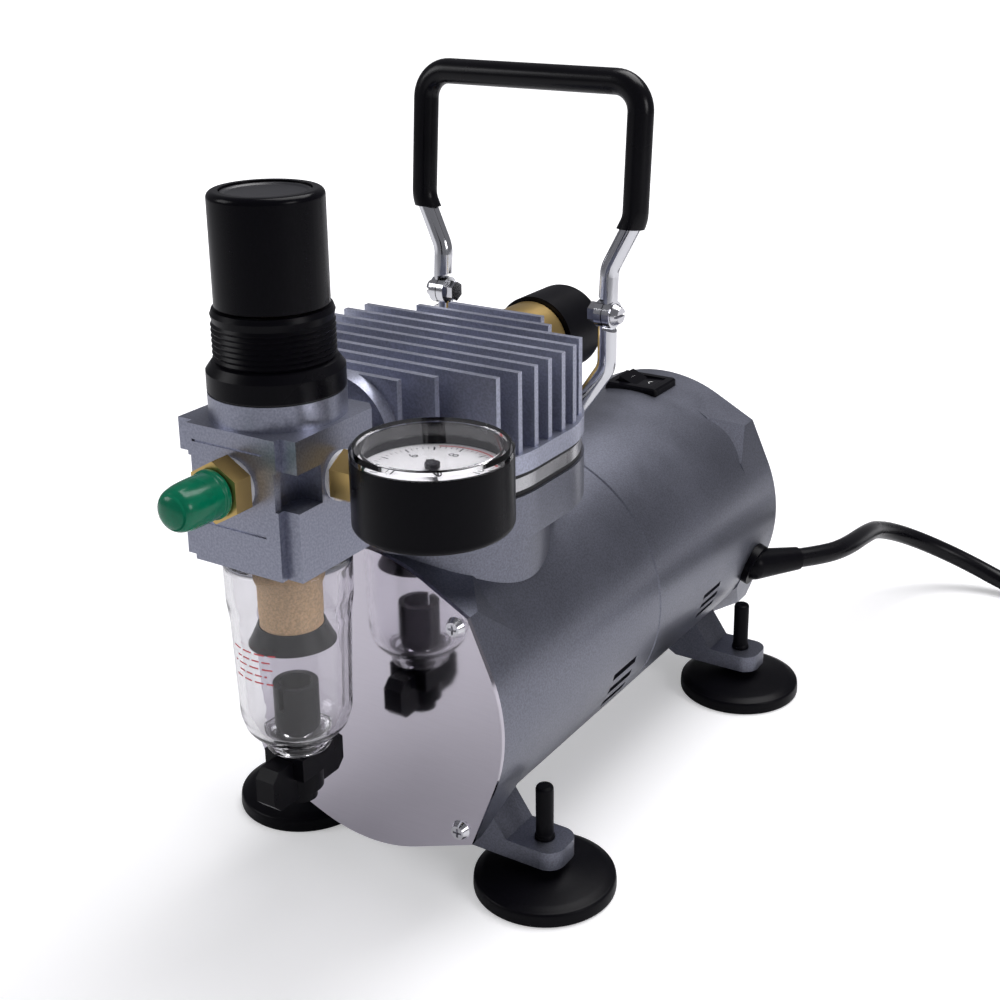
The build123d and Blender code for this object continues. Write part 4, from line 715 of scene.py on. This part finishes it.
def camera_turn():
    """Camera's axes as a matrix."""
    back = Vector((math.sin(AZIMUTH) * math.cos(ELEVATION), -math.cos(AZIMUTH) * math.cos(ELEVATION),
                   math.sin(ELEVATION)))
    right = Vector((math.cos(AZIMUTH), math.sin(AZIMUTH), 0))
    up = back.cross(right)
    side = right * math.cos(ROLL) + up * math.sin(ROLL)
    top = up * math.cos(ROLL) - right * math.sin(ROLL)
    return Matrix((side, top, back)).transposed().to_4x4()


def soft_light(name, place, target, size, power, colour=(1, 1, 1)):
    """Large square light that faces a point."""
    light = bpy.data.lights.new(name, "AREA")
    light.size = size
    light.energy = power
    light.color = colour
    holder = bpy.data.objects.new(name, light)
    holder.location = place
    holder.rotation_euler = (Vector(target) - Vector(place)).to_track_quat("-Z", "Y").to_euler()
    bpy.context.scene.collection.objects.link(holder)


class COMPRESSOR_OT_camera(bpy.types.Operator):
    """Place the camera."""

    bl_idname = "compressor.camera"
    bl_label = "Camera"

    def execute(self, context):
        camera = bpy.data.cameras.new("camera")
        camera.lens = context.scene.compressor_stage.lens
        camera.shift_x, camera.shift_y = CAMERA_SHIFT
        camera.clip_end = 60
        holder = bpy.data.objects.new("camera", camera)
        holder.matrix_world = Matrix.Translation(CAMERA_PLACE) @ camera_turn()
        context.scene.collection.objects.link(holder)
        context.scene.camera = holder
        return {"FINISHED"}


class COMPRESSOR_OT_stage(bpy.types.Operator):
    """Lay the floor and hang the lights."""

    bl_idname = "compressor.stage"
    bl_label = "Stage"

    def execute(self, context):
        stage = context.scene.compressor_stage
        mesh = bpy.data.meshes.new("floor")
        sheet = bmesh.new()
        bmesh.ops.create_grid(sheet, x_segments=1, y_segments=1, size=15)
        sheet.to_mesh(mesh)
        sheet.free()
        floor = bpy.data.objects.new("floor", mesh)
        context.scene.collection.objects.link(floor)
        mesh.materials.append(self.floor_material(stage))
        world = bpy.data.worlds.new("world")
        world.use_nodes = True
        sky = world.node_tree.nodes["Background"]
        sky.inputs["Color"].default_value = (0.86, 0.86, 0.92, 1)
        rays = world.node_tree.nodes.new("ShaderNodeLightPath")
        seen = world.node_tree.nodes.new("ShaderNodeMapRange")
        seen.inputs["To Min"].default_value = 0.20
        seen.inputs["To Max"].default_value = 1.25
        world.node_tree.links.new(rays.outputs["Is Camera Ray"], seen.inputs["Value"])
        world.node_tree.links.new(seen.outputs["Result"], sky.inputs["Strength"])
        context.scene.world = world
        context.scene.view_settings.view_transform = "Standard"
        middle = (0, 0, 0.1)
        soft_light("overhead", (0.15, 0.45, 1.25), middle, 0.9, stage.key, (1.0, 0.99, 1.0))
        soft_light("left", (-0.95, -0.75, 0.75), middle, 0.6, stage.fill, (0.98, 0.98, 1.0))
        soft_light("right", (1.2, -0.1, 0.55), middle, 0.4, 3.0, (1.0, 0.98, 1.0))
        return {"FINISHED"}

    def floor_material(self, stage):
        """Pale floor that is a little brighter to the camera than to the object."""
        material = bpy.data.materials.new("floor")
        material.use_nodes = True
        nodes = material.node_tree.nodes
        links = material.node_tree.links
        shader = nodes["Principled BSDF"]
        shader.inputs["Base Color"].default_value = (*stage.floor, 1)
        shader.inputs["Roughness"].default_value = 0.8
        shader.inputs["Specular IOR Level"].default_value = 0.1
        shader.inputs["Emission Color"].default_value = (1, 1, 1, 1)
        rays = nodes.new("ShaderNodeLightPath")
        glow = nodes.new("ShaderNodeMath")
        glow.operation = "MULTIPLY"
        place = nodes.new("ShaderNodeTexCoord")
        far = nodes.new("ShaderNodeVectorMath")
        far.operation = "LENGTH"
        links.new(place.outputs["Object"], far.inputs[0])
        spread = nodes.new("ShaderNodeMapRange")
        spread.inputs["From Min"].default_value = 0.25
        spread.inputs["From Max"].default_value = 1.10
        spread.inputs["To Min"].default_value = 0.36
        spread.inputs["To Max"].default_value = 1.0
        links.new(far.outputs["Value"], spread.inputs["Value"])
        links.new(spread.outputs["Result"], glow.inputs[1])
        links.new(rays.outputs["Is Camera Ray"], glow.inputs[0])
        links.new(glow.outputs[0], shader.inputs["Emission Strength"])
        return material


class COMPRESSOR_PT_panel(bpy.types.Panel):
    """Compressor looks"""

    bl_idname = "COMPRESSOR_PT_panel"
    bl_label = "Compressor"
    bl_space_type = "VIEW_3D"
    bl_region_type = "UI"
    bl_category = "Compressor"

    def draw(self, context):
        scene = context.scene
        for group in (scene.compressor_colours, scene.compressor_sizes, scene.compressor_stage):
            box = self.layout.box()
            for key in group.bl_rna.properties.keys():
                if key not in ("rna_type", "name"):
                    box.prop(group, key)
        for step in STEPS:
            self.layout.operator(step.bl_idname)


STEPS = (COMPRESSOR_OT_camera, COMPRESSOR_OT_lead, COMPRESSOR_OT_finishes, COMPRESSOR_OT_feet,
         COMPRESSOR_OT_cap, COMPRESSOR_OT_knob, COMPRESSOR_OT_dial, COMPRESSOR_OT_switch_marks,
         COMPRESSOR_OT_bowl, COMPRESSOR_OT_bowl_marks, COMPRESSOR_OT_stage)
CLASSES = (CompressorColours, CompressorSizes, CompressorStage, *STEPS, COMPRESSOR_PT_panel)


def register():
    for item in CLASSES:
        bpy.utils.register_class(item)
    bpy.types.Scene.compressor_colours = PointerProperty(type=CompressorColours)
    bpy.types.Scene.compressor_sizes = PointerProperty(type=CompressorSizes)
    bpy.types.Scene.compressor_stage = PointerProperty(type=CompressorStage)


def unregister():
    del bpy.types.Scene.compressor_stage
    del bpy.types.Scene.compressor_sizes
    del bpy.types.Scene.compressor_colours
    for item in reversed(CLASSES):
        bpy.utils.unregister_class(item)


def plain(bounds):
    """A box as plain lists of numbers."""
    return [[float(v) for v in corner] for corner in bounds]


def main():
    register()
    for step in STEPS:
        group, name = step.bl_idname.split(".")
        getattr(getattr(bpy.ops, group), name)()
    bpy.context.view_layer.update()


if __name__ == "__main__":
    main()
